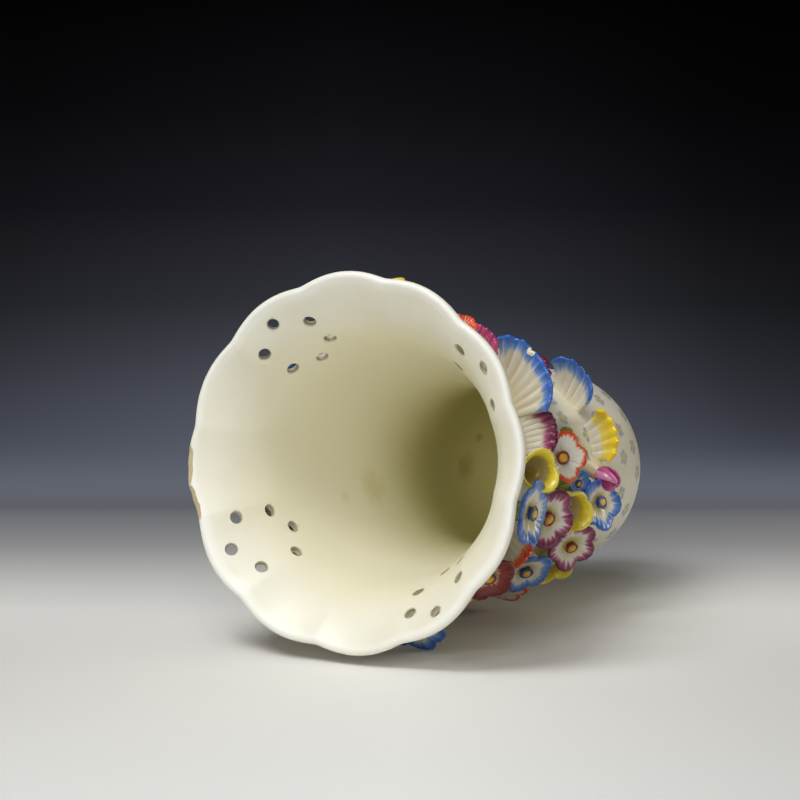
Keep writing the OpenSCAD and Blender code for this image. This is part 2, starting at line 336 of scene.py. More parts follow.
def grid_object(name: str, points: Array, uv: Array, *materials: Material) -> Object:
    """Object of one grid of quads.

    Args:
        name: Name of the object.
        points: Its points, in millimetres.
        uv: Its texture coordinates.
        *materials: Its materials.

    Returns:
        The object.
    """
    skin = Skin()
    skin.grid(points, uv)
    return skin.piece(name, materials)


def turned(name: str, line: Array, segments: int, *materials: Material) -> Object:
    """Object of a line that is turned about the axis."""
    return grid_object(name, *lathe(line, segments), *materials)


def soften(line: Sequence[Pair], count: int) -> Array:
    """Smooth curve through the points of an outline.

    Args:
        line: The outline's points.
        count: Number of points wanted.

    Returns:
        The curve's points.
    """
    knots = np.asarray(line, dtype=float)
    ends = np.vstack([2 * knots[0] - knots[1], knots, 2 * knots[-1] - knots[-2]])
    made = []
    for place in np.linspace(0, len(knots) - 1 - 1e-9, count):
        k = int(place)
        t = place - k
        p0, p1, p2, p3 = ends[k:k + 4]
        made.append(0.5 * (2 * p1 + (p2 - p0) * t + (2 * p0 - 5 * p1 + 4 * p2 - p3) * t * t
                           + (3 * p1 - p0 - 3 * p2 + p3) * t ** 3))
    return np.asarray(made)


# The vase's form


@dataclass(frozen=True)
class VaseForm:
    """Outline of the wall, from the foot to the lobed lip (millimetres)."""

    height: float = 204.0
    mouth_r: float = 70.0
    wall: float = 3.4
    throat_r: float = 47.0
    flare_len: float = 14.0
    waist_r: float = 35.0
    waist_z: float = 97.0
    bulb_r: float = 42.0
    bulb_z: float = 34.0
    belly_drop: float = 38.0
    belly_exponent: float = 2.4
    flare_exponent: float = 1.5
    floor_t: float = 4.0
    foot_r: float = 29.5
    foot_w: float = 5.0
    foot_h: float = 5.0
    mouth_h: float = 32.0
    upper_frill_drop: float = 30.0
    lower_frill_rise: float = 31.0
    top_row_drop: float = 11.0
    neck_row_drop: float = 21.0
    shoulder_row_rise: float = 17.0

    @property
    def lip_z(self) -> float:
        """Height of the middle of the lip."""
        return self.height - self.wall / 2

    @property
    def lip_r(self) -> float:
        """Radius of the middle of the lip."""
        return self.mouth_r - self.wall / 2

    @property
    def joint_z(self) -> float:
        """Height at which the mouth meets the neck."""
        return self.lip_z - self.mouth_h

    def neck(self, z: Any) -> Any:
        """Radius of the middle of the neck's wall.

        Args:
            z: Heights.

        Returns:
            The radii.
        """
        part = np.clip((self.lip_z - z) / (self.lip_z - self.waist_z), 0, 1)
        fall = (1 + np.cos(math.pi * part ** self.flare_exponent)) / 2
        flare = np.exp((z - self.lip_z) / self.flare_len)
        return (self.waist_r - self.wall / 2 + (self.throat_r - self.waist_r) * fall
                + (self.mouth_r - self.throat_r) * flare)

    def slope(self, z: Any) -> Any:
        """Change of the neck's radius with height."""
        return (self.neck(z + 0.1) - self.neck(z - 0.1)) / 0.2

    def half_skin(self, z: Any) -> Any:
        """Half of the neck's wall, measured level."""
        return self.wall / 2 * np.sqrt(1 + self.slope(z) ** 2)

    def belly(self, z: Any, radius: float, drop: float) -> Any:
        """Radius of the belly's curve below the widest place."""
        share = np.clip((self.bulb_z - z) / drop, 0, 1)
        return radius * (1 - share ** self.belly_exponent) ** (1 / self.belly_exponent)

    def shoulder(self, z: Any) -> Any:
        """Radius between the widest place and the waist."""
        share = np.clip((z - self.bulb_z) / (self.waist_z - self.bulb_z), 0, 1)
        return self.waist_r + (self.bulb_r - self.waist_r) * (1 + np.cos(math.pi * share)) / 2

    def outer(self, z: Any) -> Any:
        """Outer radius of the body.

        Args:
            z: Heights.

        Returns:
            The radii.
        """
        z = np.asarray(z, dtype=float)
        return np.select([z >= self.waist_z, z >= self.bulb_z],
                         [self.neck(z) + self.half_skin(z), self.shoulder(z)],
                         self.belly(z, self.bulb_r, self.belly_drop))

    def inner(self, z: Any) -> Any:
        """Inner radius of the body.

        Args:
            z: Heights.

        Returns:
            The radii.
        """
        z = np.asarray(z, dtype=float)
        return np.select([z >= self.waist_z, z >= self.bulb_z],
                         [self.neck(z) - self.half_skin(z), self.shoulder(z) - self.wall],
                         self.belly(z, self.bulb_r - self.wall, self.belly_drop - self.wall))

    def wall_normal(self, z: float) -> Array:
        """Unit normal of the neck's wall, out and down, as radius and height."""
        steep = float(self.slope(z))
        return np.array([1.0, -steep]) / math.hypot(1.0, steep)

    def stand(self, azimuth: float, z: float, tilt: float, lean: float = 0.0,
              bed: float = 0.0) -> Matrix:
        """Frame of a thing that is luted to the wall, whose own Z points away from it.

        Args:
            azimuth: Azimuth from the front, in degrees.
            z: Height of its root.
            tilt: Tilt up from level, in degrees.
            lean: Turn of its face towards a larger azimuth, in degrees.
            bed: Depth of its root in the wall.

        Returns:
            The matrix, in metres.
        """
        az, tilt, lean = np.radians([azimuth - 90.0, tilt, lean])
        out = Vector((math.cos(az), math.sin(az), 0))
        side = Vector((-math.sin(az), math.cos(az), 0))
        face = out * math.cos(lean) + side * math.sin(lean)
        axis = face * math.cos(tilt) + Vector((0, 0, math.sin(tilt)))
        foot = out * (float(self.outer(z)) - bed) + Vector((0, 0, z))
        return frame_at(foot, side, axis)


# Node work


@dataclass
class NodeBench:
    """Adds and joins the nodes of one tree."""

    tree: Tree

    def feed(self, socket: Socket, value: Any) -> None:
        """Links a socket to another, or sets its value.

        Args:
            socket: The input.
            value: Another node's output, or a plain value.
        """
        if isinstance(value, Socket):
            self.tree.links.new(value, socket)
        elif socket.type == "RGBA" and len(value) == 3:
            socket.default_value = (*value, 1.0)
        else:
            socket.default_value = value

    def fill(self, node: Node, values: dict[Any, Any]) -> None:
        """Feeds several inputs of a node, by name or index."""
        for key, value in values.items():
            self.feed(node.inputs[key], value)

    def add(self, kind: str, values: Optional[dict[Any, Any]] = None,
            **settings: Any) -> Node:
        """Adds a node.

        Args:
            kind: Its type.
            values: Values or sockets for its inputs, by name or index.
            **settings: Its own properties.

        Returns:
            The node.
        """
        node = self.tree.nodes.new(kind)
        for key, value in settings.items():
            setattr(node, key, value)
        self.fill(node, values or {})
        return node

    def math(self, operation: str, *values: Any, clamp: bool = False) -> Socket:
        """Result of a Math node with the given inputs."""
        return self.add("ShaderNodeMath", dict(enumerate(values)), operation=operation,
                        use_clamp=clamp).outputs[0]

    def times(self, first: Any, second: Any) -> Socket:
        """Product of two numbers."""
        return self.math("MULTIPLY", first, second)

    def plus(self, first: Any, second: Any) -> Socket:
        """Sum of two numbers."""
        return self.math("ADD", first, second)

    def minus(self, first: Any, second: Any) -> Socket:
        """Difference of two numbers."""
        return self.math("SUBTRACT", first, second)

    def hypot(self, first: Any, second: Any) -> Socket:
        """Length of the slope over two sides at right angles."""
        squares = [self.math("POWER", side, 2.0) for side in (first, second)]
        return self.math("SQRT", self.plus(*squares))

    def swayed(self, base: Any, noise: Any, reach: Any,
               clamp: bool = False) -> Socket:
        """A number that a noise sways by half of the reach at most."""
        return self.math("MULTIPLY_ADD", self.minus(noise, 0.5), reach, base, clamp=clamp)

    def vector(self, operation: str, *values: Any) -> Socket:
        """Result of a Vector Math node, which is a number for a distance."""
        node = self.add("ShaderNodeVectorMath", dict(enumerate(values)), operation=operation)
        return node.outputs["Value" if operation == "DISTANCE" else "Vector"]

    def scaled(self, vector: Any, scale: Any) -> Socket:
        """A vector times a number."""
        node = self.add("ShaderNodeVectorMath", {0: vector, "Scale": scale}, operation="SCALE")
        return node.outputs["Vector"]

    def axes(self, vector: Any) -> Any:
        """The three numbers of a vector."""
        return self.add("ShaderNodeSeparateXYZ", {0: vector}).outputs

    def blend(self, share: Any, first: Any, second: Any,
              mode: str = "MIX") -> Socket:
        """Colour between two others."""
        return self.add("ShaderNodeMix", {0: share, 6: first, 7: second},
                        data_type="RGBA", blend_type=mode).outputs[2]

    def span(self, value: Any, low: Any, high: Any, start: Any = 0.0,
             end: Any = 1.0) -> Socket:
        """Smooth step between two limits."""
        limits = {"Value": value, "From Min": low, "From Max": high, "To Min": start, "To Max": end}
        return self.add("ShaderNodeMapRange", limits, interpolation_type="SMOOTHSTEP").outputs[0]

    def noise(self, vector: Any, scale: Any, detail: float = 2.0) -> Socket:
        """Value of a noise texture."""
        return self.add("ShaderNodeTexNoise",
                        {"Vector": vector, "Scale": scale, "Detail": detail}).outputs[0]

    def ramp(self, share: Any, stops: Sequence[tuple[float, Colour]]) -> Socket:
        """Colour of a ramp.

        Args:
            share: Place on the ramp.
            stops: Places and their colours.

        Returns:
            The colour socket.
        """
        node = self.add("ShaderNodeValToRGB", {0: share})
        steps = node.color_ramp.elements
        while len(steps) < len(stops):
            steps.new(1.0)
        for step, (place, colour) in zip(steps, stops):
            step.position = place
            step.color = (*colour, 1.0)
        return node.outputs[0]

    def place(self) -> Socket:
        """Object coordinates, in metres."""
        return self.add("ShaderNodeTexCoord").outputs["Object"]

    def uv(self) -> Socket:
        """The piece's own texture coordinates."""
        return self.add("ShaderNodeUVMap", uv_map="UVMap").outputs[0]

    def mark(self, name: str) -> Socket:
        """Number that the mesh stores at its vertices."""
        return self.add("ShaderNodeAttribute", attribute_name=name).outputs["Fac"]

    def bump(self, height: Any, strength: float, distance: float) -> Socket:
        """Normal of a surface with small heights on it."""
        return self.add("ShaderNodeBump", {"Height": height, "Strength": strength,
                                           "Distance": distance}).outputs[0]

    def group(self, tree: Tree, values: dict[str, Any]) -> Any:
        """Places a shader group and returns its outputs."""
        return self.add("ShaderNodeGroup", values, node_tree=tree).outputs


SOCKETS = {"colour": "NodeSocketColor", "value": "NodeSocketFloat", "vector": "NodeSocketVector"}


def start_group(name: str, takes: dict[str, str],
                gives: dict[str, str]) -> tuple[NodeBench, Any, Node]:
    """Starts a shader node group.

    Args:
        name: Name of the group.
        takes: Input names and their kinds.
        gives: Output names and their kinds.

    Returns:
        The bench, the sockets of what the group takes, and its output node.
    """
    tree = bpy.data.node_groups.new(name, "ShaderNodeTree")
    for side, labels in (("INPUT", takes), ("OUTPUT", gives)):
        for label, kind in labels.items():
            tree.interface.new_socket(label, in_out=side, socket_type=SOCKETS[kind])
    bench = NodeBench(tree)
    return bench, bench.add("NodeGroupInput").outputs, bench.add("NodeGroupOutput")


@dataclass
class SharedEffects:
    """Shader groups that more than one finish uses, built once."""

    glaze: Tree = field(init=False)
    specks: Tree = field(init=False)
    brushwork: Tree = field(init=False)

    def __post_init__(self) -> None:
        """Builds the groups."""
        self.glaze = self.glaze_group()
        self.specks = self.speck_group()
        self.brushwork = self.brush_group()

    def glaze_group(self) -> Tree:
        """Uneven depth of a fired glaze: its tone, gloss and soft waviness.

        Returns:
            The group.
        """
        bench, take, give = start_group(
            "fired glaze",
            {"Place": "vector", "Clear": "colour", "Pooled": "colour", "Gloss": "value"},
            {"Color": "colour", "Roughness": "value", "Height": "value"})
        broad = bench.noise(take["Place"], 38.0, 3.0)
        fine = bench.noise(take["Place"], 420.0, 2.0)
        waves = bench.noise(take["Place"], 120.0, 1.0)
        pool = bench.span(broad, 0.35, 0.75)
        bench.fill(give, {"Color": bench.blend(pool, take["Clear"], take["Pooled"]),
                          "Roughness": bench.swayed(take["Gloss"], fine, 0.16),
                          "Height": bench.math("MULTIPLY_ADD", fine, 0.25, waves)})
        return bench.tree

    def speck_group(self) -> Tree:
        """Sparse iron specks that a kiln leaves in a glaze.

        Returns:
            The group.
        """
        bench, take, give = start_group(
            "kiln specks", {"Place": "vector", "Scale": "value", "Share": "value"},
            {"Mask": "value"})
        cells = bench.add("ShaderNodeTexVoronoi",
                          {"Vector": take["Place"], "Scale": take["Scale"]}).outputs
        pick = bench.add("ShaderNodeSeparateColor", {0: cells["Color"]}).outputs
        chosen = bench.math("LESS_THAN", pick[0], take["Share"])
        size = bench.math("MULTIPLY_ADD", pick[1], 0.05, 0.02)
        dot = bench.minus(1.0, bench.span(cells["Distance"], size, bench.plus(size, 0.04)))
        bench.fill(give, {"Mask": bench.times(chosen, dot)})
        return bench.tree

    def brush_group(self) -> Tree:
        """Enamel that is brushed inwards from an edge over a white ground.

        The texture's U runs along the edge and its V is 1 at the edge and 0 in the middle.

        Returns:
            The group.
        """
        bench, take, give = start_group(
            "brushed enamel",
            {"UV": "vector", "Place": "vector", "Ground": "colour", "Thin": "colour",
             "Thick": "colour", "Band": "value", "Ragged": "value", "Strokes": "value",
             "Wash": "colour", "Wash Reach": "value", "Shade": "colour", "Groove": "value"},
            {"Color": "colour", "Height": "value"})
        uv = bench.axes(take["UV"])
        turn, inward = bench.times(uv[0], FULL_TURN), uv[1]
        reach = bench.math("DIVIDE", take["Strokes"], FULL_TURN)
        drift = bench.scaled(take["Place"], 40.0)

        def streaks(finer: float, along: float, detail: float) -> Socket:
            """Noise drawn out along the brush's path.

            Args:
                finer: How much narrower than a stroke.
                along: Changes from the middle to the edge.
                detail: Detail of the noise.

            Returns:
                The noise.
            """
            wide = bench.times(reach, finer)
            spot = bench.add("ShaderNodeCombineXYZ", {
                0: bench.times(bench.math("COSINE", turn), wide),
                1: bench.times(bench.math("SINE", turn), wide),
                2: bench.times(inward, along)})
            return bench.noise(bench.vector("ADD", spot.outputs[0], drift), 1.0, detail)

        broad, fine = streaks(1.0, 0.7, 1.0), streaks(4.0, 1.6, 2.0)
        wander = bench.swayed(bench.minus(fine, 0.5), broad, 2.2)
        edge = bench.math("MULTIPLY_ADD", wander, take["Ragged"], inward)
        start = bench.minus(1.0, take["Band"])
        mask = bench.span(edge, bench.minus(start, 0.05), bench.plus(start, 0.09))
        load = bench.span(edge, start, bench.plus(start, bench.times(take["Band"], 0.9)))
        load = bench.swayed(load, fine, bench.times(take["Ragged"], 3.0), clamp=True)
        enamel = bench.blend(load, take["Thin"], take["Thick"])
        # Darker ground: glaze pooled along the strokes, and painted shade in the marked grooves.
        shade = bench.math("MULTIPLY_ADD", bench.span(fine, 0.48, 0.72),
                           bench.times(take["Ragged"], 1.2),
                           bench.times(take["Groove"], 0.6), clamp=True)
        ground = bench.blend(shade, take["Ground"], take["Shade"])
        washed = bench.span(inward, bench.times(take["Wash Reach"], 0.35),
                            take["Wash Reach"], 0.85, 0.0)
        ground = bench.blend(washed, ground, take["Wash"])
        bench.fill(give, {"Color": bench.blend(mask, ground, enamel),
                          "Height": bench.math("MULTIPLY_ADD", fine, 0.5, mask)})
        return bench.tree


def start_material(name: str) -> tuple[Material, NodeBench, Node]:
    """Starts a material with a Principled shader.

    Args:
        name: Name of the material.

    Returns:
        The material, its bench and the shader node.
    """
    material = bpy.data.materials.new(name)
    material.use_nodes = True
    material.node_tree.nodes.clear()
    bench = NodeBench(material.node_tree)
    shader = bench.add("ShaderNodeBsdfPrincipled")
    bench.add("ShaderNodeOutputMaterial", {"Surface": shader.outputs[0]})
    return material, bench, shader


IVORY = paint(238, 235, 219)
POOLED = paint(230, 225, 201)
GROUND = paint(240, 236, 222)
# Painted shade colour of the upper throat.
THROAT_SHADE_CREAM = paint(239, 234, 209)
# Painted highlight along the lip.
LIP_HIGHLIGHT_WHITE = paint(247, 246, 238)
# Painted shade colour deep in the throat.
DEEP_SHADE_YELLOW = paint(230, 222, 156)
# Painted shade in the vents' bores.
VENT_SHADE = paint(150, 137, 92)
IRON_SPECK = paint(120, 84, 48)
BISCUIT = (paint(194, 174, 134), paint(220, 204, 166))
STAIN_BROWN = paint(140, 104, 34)
STAIN_OCHRE = paint(196, 176, 62)
# Glaze pooled in the strokes, and painted shade in the fans' grooves.
PETAL_POOL_AND_SHADE = paint(212, 198, 164)


@dataclass(frozen=True)
class Sprigs:
    """Painted forget-me-nots, five dots round a centre, scattered in rows (millimetres).

    Attributes:
        per_row: Sprigs in a row round the body.
        pitch: Distance between the rows.
        jitter: Scatter about the regular places, as a share of the distance.
        ring: Radius of the ring of dots.
        dot: Radii at which a dot starts to fade and ends.
        eye: The same for the middle.
        low: Heights in metres between which the sprigs begin.
        high: Heights in metres between which they end.
        dot_hues: Palest and darkest colour of the dots.
        eye_hue: Colour of the middle.
    """

    per_row: int = 20
    pitch: float = 12.5
    jitter: float = 0.42
    ring: float = 2.15
    dot: Pair = (0.65, 1.75)
    eye: Pair = (1.0, 1.75)
    low: Pair = (0.008, 0.012)
    high: Pair = (0.088, 0.080)
    dot_hues: tuple[Colour, Colour] = (paint(156, 168, 190), paint(136, 149, 175))
    eye_hue: Colour = paint(214, 202, 76)

    def over(self, bench: NodeBench, place: Any, inside: Any, colour: Any) -> Any:
        """Paints the sprigs over a glaze.

        Args:
            bench: The material's bench.
            place: Object coordinates.
            inside: Mask of the inner side.
            colour: Colour so far.

        Returns:
            The colour with the sprigs.
        """
        uv, axes = bench.axes(bench.uv()), bench.axes(place)
        row_place = bench.math("DIVIDE", uv[1], self.pitch)
        row = bench.math("FLOOR", row_place)
        odd = bench.times(bench.math("PINGPONG", row, 1.0), 0.5)
        column_place = bench.plus(bench.times(uv[0], float(self.per_row)), odd)
        column = bench.math("FLOORED_MODULO", bench.math("FLOOR", column_place),
                            float(self.per_row))
        cell = bench.add("ShaderNodeCombineXYZ", {0: column, 1: row}).outputs[0]
        chance = bench.add("ShaderNodeTexWhiteNoise", {"Vector": cell}, noise_dimensions="3D")
        luck = bench.add("ShaderNodeSeparateColor", {0: chance.outputs["Color"]}).outputs
        width = bench.times(bench.hypot(axes[0], axes[1]), FULL_TURN / MM / self.per_row)

        def offset(step: Any, scatter: Any, size: Any) -> Any:
            """Distance from the sprig's own centre, along one axis."""
            middle = bench.minus(bench.math("FRACT", step), 0.5)
            return bench.times(bench.swayed(middle, scatter, self.jitter), size)

        across = offset(column_place, luck[0], width)
        along = offset(row_place, luck[1], self.pitch)
        radius = bench.hypot(across, along)
        angle = bench.plus(bench.math("ARCTAN2", along, across), bench.times(luck[2], 6.2))
        fifth = FULL_TURN / 5
        fold = bench.minus(bench.math("FLOORED_MODULO", angle, fifth), fifth / 2)
        square = bench.minus(
            bench.plus(bench.math("POWER", radius, 2.0), self.ring ** 2),
            bench.times(bench.times(radius, 2 * self.ring), bench.math("COSINE", fold)))
        far = bench.math("SQRT", bench.math("MAXIMUM", square, 0.0))
        blot = bench.swayed(far, bench.noise(place, 900.0), 0.9)
        zone = bench.times(bench.span(axes[2], *self.high), bench.minus(1.0, inside))
        zone = bench.times(zone, bench.span(axes[2], *self.low))
        dots = bench.times(bench.span(blot, *self.dot, 0.82, 0.0), zone)
        colour = bench.blend(dots, colour, bench.blend(luck[0], *self.dot_hues))
        eye = bench.times(bench.span(radius, *self.eye, 0.95, 0.0), zone)
        return bench.blend(eye, colour, self.eye_hue)


@dataclass(frozen=True)
class IvoryGlaze:
    """White glaze of the wall, with its stains, specks and chips.

    Attributes:
        name: Name of the material.
        sprigs: Sprigs that are painted on the outside, or None.
        gloss: Roughness of the sound glaze.
        throat: Heights in metres between which the inner side turns cream, a painted shade colour.
        lip: The same for the white of the lip, a painted highlight.
        deep: The same for the yellow deep inside, a painted shade colour.
        stain_marks: Place, reach, strength and colour of each stain, in metres.
    """

    name: str
    sprigs: Optional[Sprigs] = None
    gloss: float = 0.36
    throat: Pair = (0.204, 0.175)
    lip: Pair = (0.2012, 0.2035)
    deep: Pair = (0.148, 0.05)
    stain_marks: tuple[tuple[Colour, float, float, Colour], ...] = (
        ((0.0022, 0.0382, 0.0274), 0.009, 0.32, STAIN_BROWN),
        ((0.0148, 0.0337, 0.0205), 0.003, 0.3, STAIN_BROWN),
        ((-0.0065, 0.0338, 0.1207), 0.010, 0.26, STAIN_OCHRE),
        ((-0.0110, 0.0368, 0.1390), 0.004, 0.1, STAIN_BROWN))

    def make(self, effects: SharedEffects) -> Material:
        """Builds the material.

        Args:
            effects: The shared groups.

        Returns:
            The material.
        """
        material, bench, shader = start_material(self.name)
        place, inside = bench.place(), bench.mark("inside")
        tone = bench.group(effects.glaze, {
            "Place": place, "Clear": IVORY, "Pooled": POOLED, "Gloss": self.gloss})
        z = bench.axes(place)[2]
        depth = bench.times(inside, bench.span(z, *self.deep))
        colour = tone["Color"]
        # Painted shade colour: the inner side turns cream below the lip.
        for mask, hue in ((bench.times(inside, bench.span(z, *self.throat)), THROAT_SHADE_CREAM),
                          # Painted highlight: the lip turns white.
                          (bench.times(bench.span(z, *self.lip), 0.72), LIP_HIGHLIGHT_WHITE),
                          # Painted shade colour: the throat turns yellow deep inside.
                          (bench.times(depth, 0.95), DEEP_SHADE_YELLOW)):
            colour = bench.blend(mask, colour, hue)
        colour = self.stains(bench, place, inside, colour)
        # Painted shade: the vents' bores darken.
        colour = bench.blend(bench.times(bench.mark("bore"), 0.85), colour, VENT_SHADE)
        specks = bench.group(effects.specks, {"Place": place, "Scale": 62.0, "Share": 0.02})
        colour = bench.blend(bench.times(specks["Mask"], 0.6), colour, IRON_SPECK)
        if self.sprigs:
            colour = self.sprigs.over(bench, place, inside, colour)
        crumb = bench.noise(place, 700.0, 3.0)
        bare = bench.span(bench.mark("chip"), 0.35, 0.65)
        height = bench.math("MULTIPLY_ADD", bench.times(crumb, bare), 3.0, tone["Height"])
        bench.fill(shader, {
            "Base Color": bench.blend(bare, colour, bench.blend(crumb, *BISCUIT)),
            "Roughness": bench.math("MULTIPLY_ADD", bare, 0.6, tone["Roughness"]),
            "Coat Weight": bench.times(bench.minus(1.0, bare), 0.1),
            "Coat Roughness": 0.28, "Specular IOR Level": 0.4,
            "Normal": bench.bump(height, 0.06, 0.0006)})
        return material

    def stains(self, bench: NodeBench, place: Any, inside: Any, colour: Any) -> Any:
        """Brown marks deep in the throat.

        Args:
            bench: The material's bench.
            place: Object coordinates.
            inside: Mask of the inner side.
            colour: Colour so far.

        Returns:
            The colour with the marks.
        """
        cloud = bench.noise(place, 160.0, 4.0)
        for spot, reach, strength, hue in self.stain_marks:
            worn = bench.swayed(bench.vector("DISTANCE", place, spot), cloud, reach)
            mask = bench.times(bench.span(worn, reach * 0.15, reach, strength, 0.0), inside)
            colour = bench.blend(mask, colour, hue)
        return colour


@dataclass(frozen=True)
class Enamel:
    """White petal with enamel brushed in from its edge.

    Attributes:
        name: Name of the material.
        thin: Colour where the brush ran dry.
        thick: Colour where the enamel lies thick.
        band: Width of the painted edge, as a share of the petal.
        ragged: How unevenly the strokes end.
        strokes: Strokes along the edge.
        wash: Colour of the wash in the middle.
        wash_reach: How far the wash reaches out.
        ground: Colour of the bare glaze.
        pooling: Share of the ground's channels where the glaze lies deep.
        gloss: Roughness of the glaze.
    """

    name: str
    thin: Colour
    thick: Colour
    band: float = 0.30
    ragged: float = 0.14
    strokes: float = 42.0
    wash: Colour = paint(204, 182, 54)
    wash_reach: float = 0.64
    ground: Colour = GROUND
    pooling: Colour = (0.92, 0.9, 0.83)
    gloss: float = 0.24

    def make(self, effects: SharedEffects) -> Material:
        """Builds the material.

        Args:
            effects: The shared groups.

        Returns:
            The material.
        """
        material, bench, shader = start_material(self.name)
        place = bench.place()
        pooled = tuple(part * share for part, share in zip(self.ground, self.pooling))
        tone = bench.group(effects.glaze, {
            "Place": place, "Clear": self.ground, "Pooled": pooled, "Gloss": self.gloss})
        brush = bench.group(effects.brushwork, {
            "UV": bench.uv(), "Place": place, "Ground": tone["Color"], "Thin": self.thin,
            "Thick": self.thick, "Band": self.band, "Ragged": self.ragged,
            "Strokes": self.strokes, "Wash": self.wash, "Wash Reach": self.wash_reach,
            "Shade": PETAL_POOL_AND_SHADE, "Groove": bench.mark("groove")})
        height = bench.math("MULTIPLY_ADD", brush["Height"], 0.5, tone["Height"])
        bench.fill(shader, {
            "Base Color": brush["Color"], "Roughness": tone["Roughness"], "Coat Weight": 0.3,
            "Coat Roughness": 0.14, "Normal": bench.bump(height, 0.25, 0.0004)})
        return material


ENAMELS = {
    BLUE: Enamel("blue_edged_petal", paint(128, 168, 222), paint(52, 102, 188), band=0.34),
    PUCE: Enamel("puce_edged_petal", paint(190, 98, 142), paint(108, 18, 62), ragged=0.2),
    YELLOW: Enamel("yellow_edged_petal", paint(244, 224, 100), paint(238, 204, 40), band=0.42),
    ORANGE: Enamel("orange_edged_petal", paint(238, 120, 72), paint(222, 78, 36), band=0.17,
                        ragged=0.1, wash_reach=0.4),
    PINK: Enamel("pink_edged_petal", paint(230, 160, 190), paint(186, 62, 116), band=0.4,
                      ragged=0.24),
    RED: Enamel("red_edged_petal", paint(156, 46, 32), paint(104, 12, 14), band=0.56,
                     wash=paint(168, 104, 36), wash_reach=0.7),
}
# Width of the painted edge and raggedness of its strokes on the fans
FAN_EDGES = {BLUE: (0.28, 0.13), PUCE: (0.32, 0.2), YELLOW: (0.46, 0.08),
             ORANGE: (0.2, 0.09), PINK: (0.4, 0.3)}
# The fans' beige wash towards the root is painted shade where they meet the wall.
FANS = {tint: replace(ENAMELS[tint], name=f"{tint.value}_edged_fan", band=band, ragged=ragged,
                      strokes=50.0, wash=paint(230, 218, 188), wash_reach=0.42)
        for tint, (band, ragged) in FAN_EDGES.items()}
FLORETS = {tint: replace(finish, name=f"{tint.value}_floret", band=0.5)
           for tint, finish in ENAMELS.items()}
# Partly the cup's own yellow, partly painted light: the lighter lemon edge paints its lit rim, and
# the grey ground and olive wash paint the shade in its hollow.
YELLOW_CUP = Enamel("yellow_cup", paint(232, 206, 62), paint(246, 226, 72), band=0.4, ragged=0.2,
                    wash=paint(172, 142, 24), wash_reach=0.66, ground=paint(212, 204, 166))
PINK_BUD = Enamel("pink_bud", paint(206, 96, 158), paint(136, 26, 86), band=0.7, ragged=0.4,
                  strokes=20.0, wash=paint(190, 84, 146))
STALK_GREEN = Enamel("stalk_green", paint(158, 166, 100), paint(116, 132, 62), band=0.75,
                     ragged=0.4, wash=paint(214, 208, 170), wash_reach=0.3)
STALK_CREAM = Enamel("stalk_cream", paint(224, 212, 176), paint(196, 176, 128), band=0.6,
                     ragged=0.4, wash=paint(206, 190, 140), wash_reach=0.4)
LEAF_GREEN = Enamel("leaf_green", paint(172, 170, 92), paint(124, 130, 54), band=0.8, ragged=0.45,
                    wash=paint(176, 164, 80), wash_reach=0.35)
BLUE_STAMEN = Enamel("blue_stamen", paint(240, 206, 66), paint(232, 184, 36), band=0.21,
                     ragged=0.02, ground=paint(34, 72, 138), wash=paint(26, 50, 100),
                     wash_reach=0.4)
RED_STAMEN = Enamel("red_stamen", paint(240, 198, 58), paint(228, 172, 34), band=0.24,
                    ragged=0.02, ground=paint(128, 32, 42), wash=paint(92, 20, 32),
                    wash_reach=0.4)


@dataclass
class PaintBox:
    """All the finishes, each made once when it is first asked for."""

    effects: SharedEffects = field(default_factory=SharedEffects)
    made: dict[str, Material] = field(default_factory=dict)

    def get(self, finish: Any) -> Material:
        """Material of a finish.

        Args:
            finish: One of the finish classes above.

        Returns:
            The material.
        """
        if finish.name not in self.made:
            self.made[finish.name] = finish.make(self.effects)
        return self.made[finish.name]


# Geometry nodes


def start_geometry_tree(name: str, takes: dict[str, str]) -> tuple[
        NodeBench, Any, Socket, dict[str, str]]:
    """Starts a Geometry Nodes tree with named inputs.

    Args:
        name: Name of the tree.
        takes: Names and socket types of the inputs after the geometry.

    Returns:
        The bench, the sockets of what the tree takes, the socket of what it gives, and
        each input's identifier.
    """
    tree = bpy.data.node_groups.new(name, "GeometryNodeTree")
    tree.interface.new_socket("Geometry", in_out="INPUT", socket_type="NodeSocketGeometry")
    idents = {label: tree.interface.new_socket(
        label, in_out="INPUT", socket_type=kind).identifier for label, kind in takes.items()}
    tree.interface.new_socket("Geometry", in_out="OUTPUT", socket_type="NodeSocketGeometry")
    bench = NodeBench(tree)
    take, give = bench.add("NodeGroupInput").outputs, bench.add("NodeGroupOutput").inputs[0]
    return bench, take, give, idents


def run_tree(host: Object, tree: Tree, values: dict[str, Any]) -> None:
    """Runs a tree on an object and leaves the result as its plain mesh.

    Args:
        host: The object.
        tree: The tree.
        values: Value of each input, by socket identifier.
    """
    modifier = host.modifiers.new(tree.name, "NODES")
    modifier.node_group = tree
    for identifier, value in values.items():
        modifier[identifier] = value
    graph = bpy.context.evaluated_depsgraph_get()
    result = bpy.data.meshes.new_from_object(host.evaluated_get(graph), depsgraph=graph)
    host.modifiers.clear()
    old, host.data = host.data, result
    name = old.name
    bpy.data.meshes.remove(old)
    result.name = name


def spots_object(name: str, spots: Sequence[Matrix]) -> Object:
    """Object of bare points that carry a turn and a size each, for a tree to set things on.

    Args:
        name: Name of the object.
        spots: Place, turn and size of each point, in metres.

    Returns:
        The object.
    """
    mesh = bpy.data.meshes.new(name)
    mesh.from_pydata([tuple(spot.to_translation()) for spot in spots], [], [])
    turns = mesh.attributes.new("turn", "QUATERNION", "POINT")
    flat = [part for spot in spots for part in spot.to_quaternion()]
    turns.data.foreach_set("value", flat)
    mark_points(mesh, "grow", np.array([spot.to_scale()[2] for spot in spots]))
    return stand_object(name, mesh)


def drop(thing: Object) -> None:
    """Deletes a helper's mesh, and its object with it."""
    bpy.data.meshes.remove(thing.data)


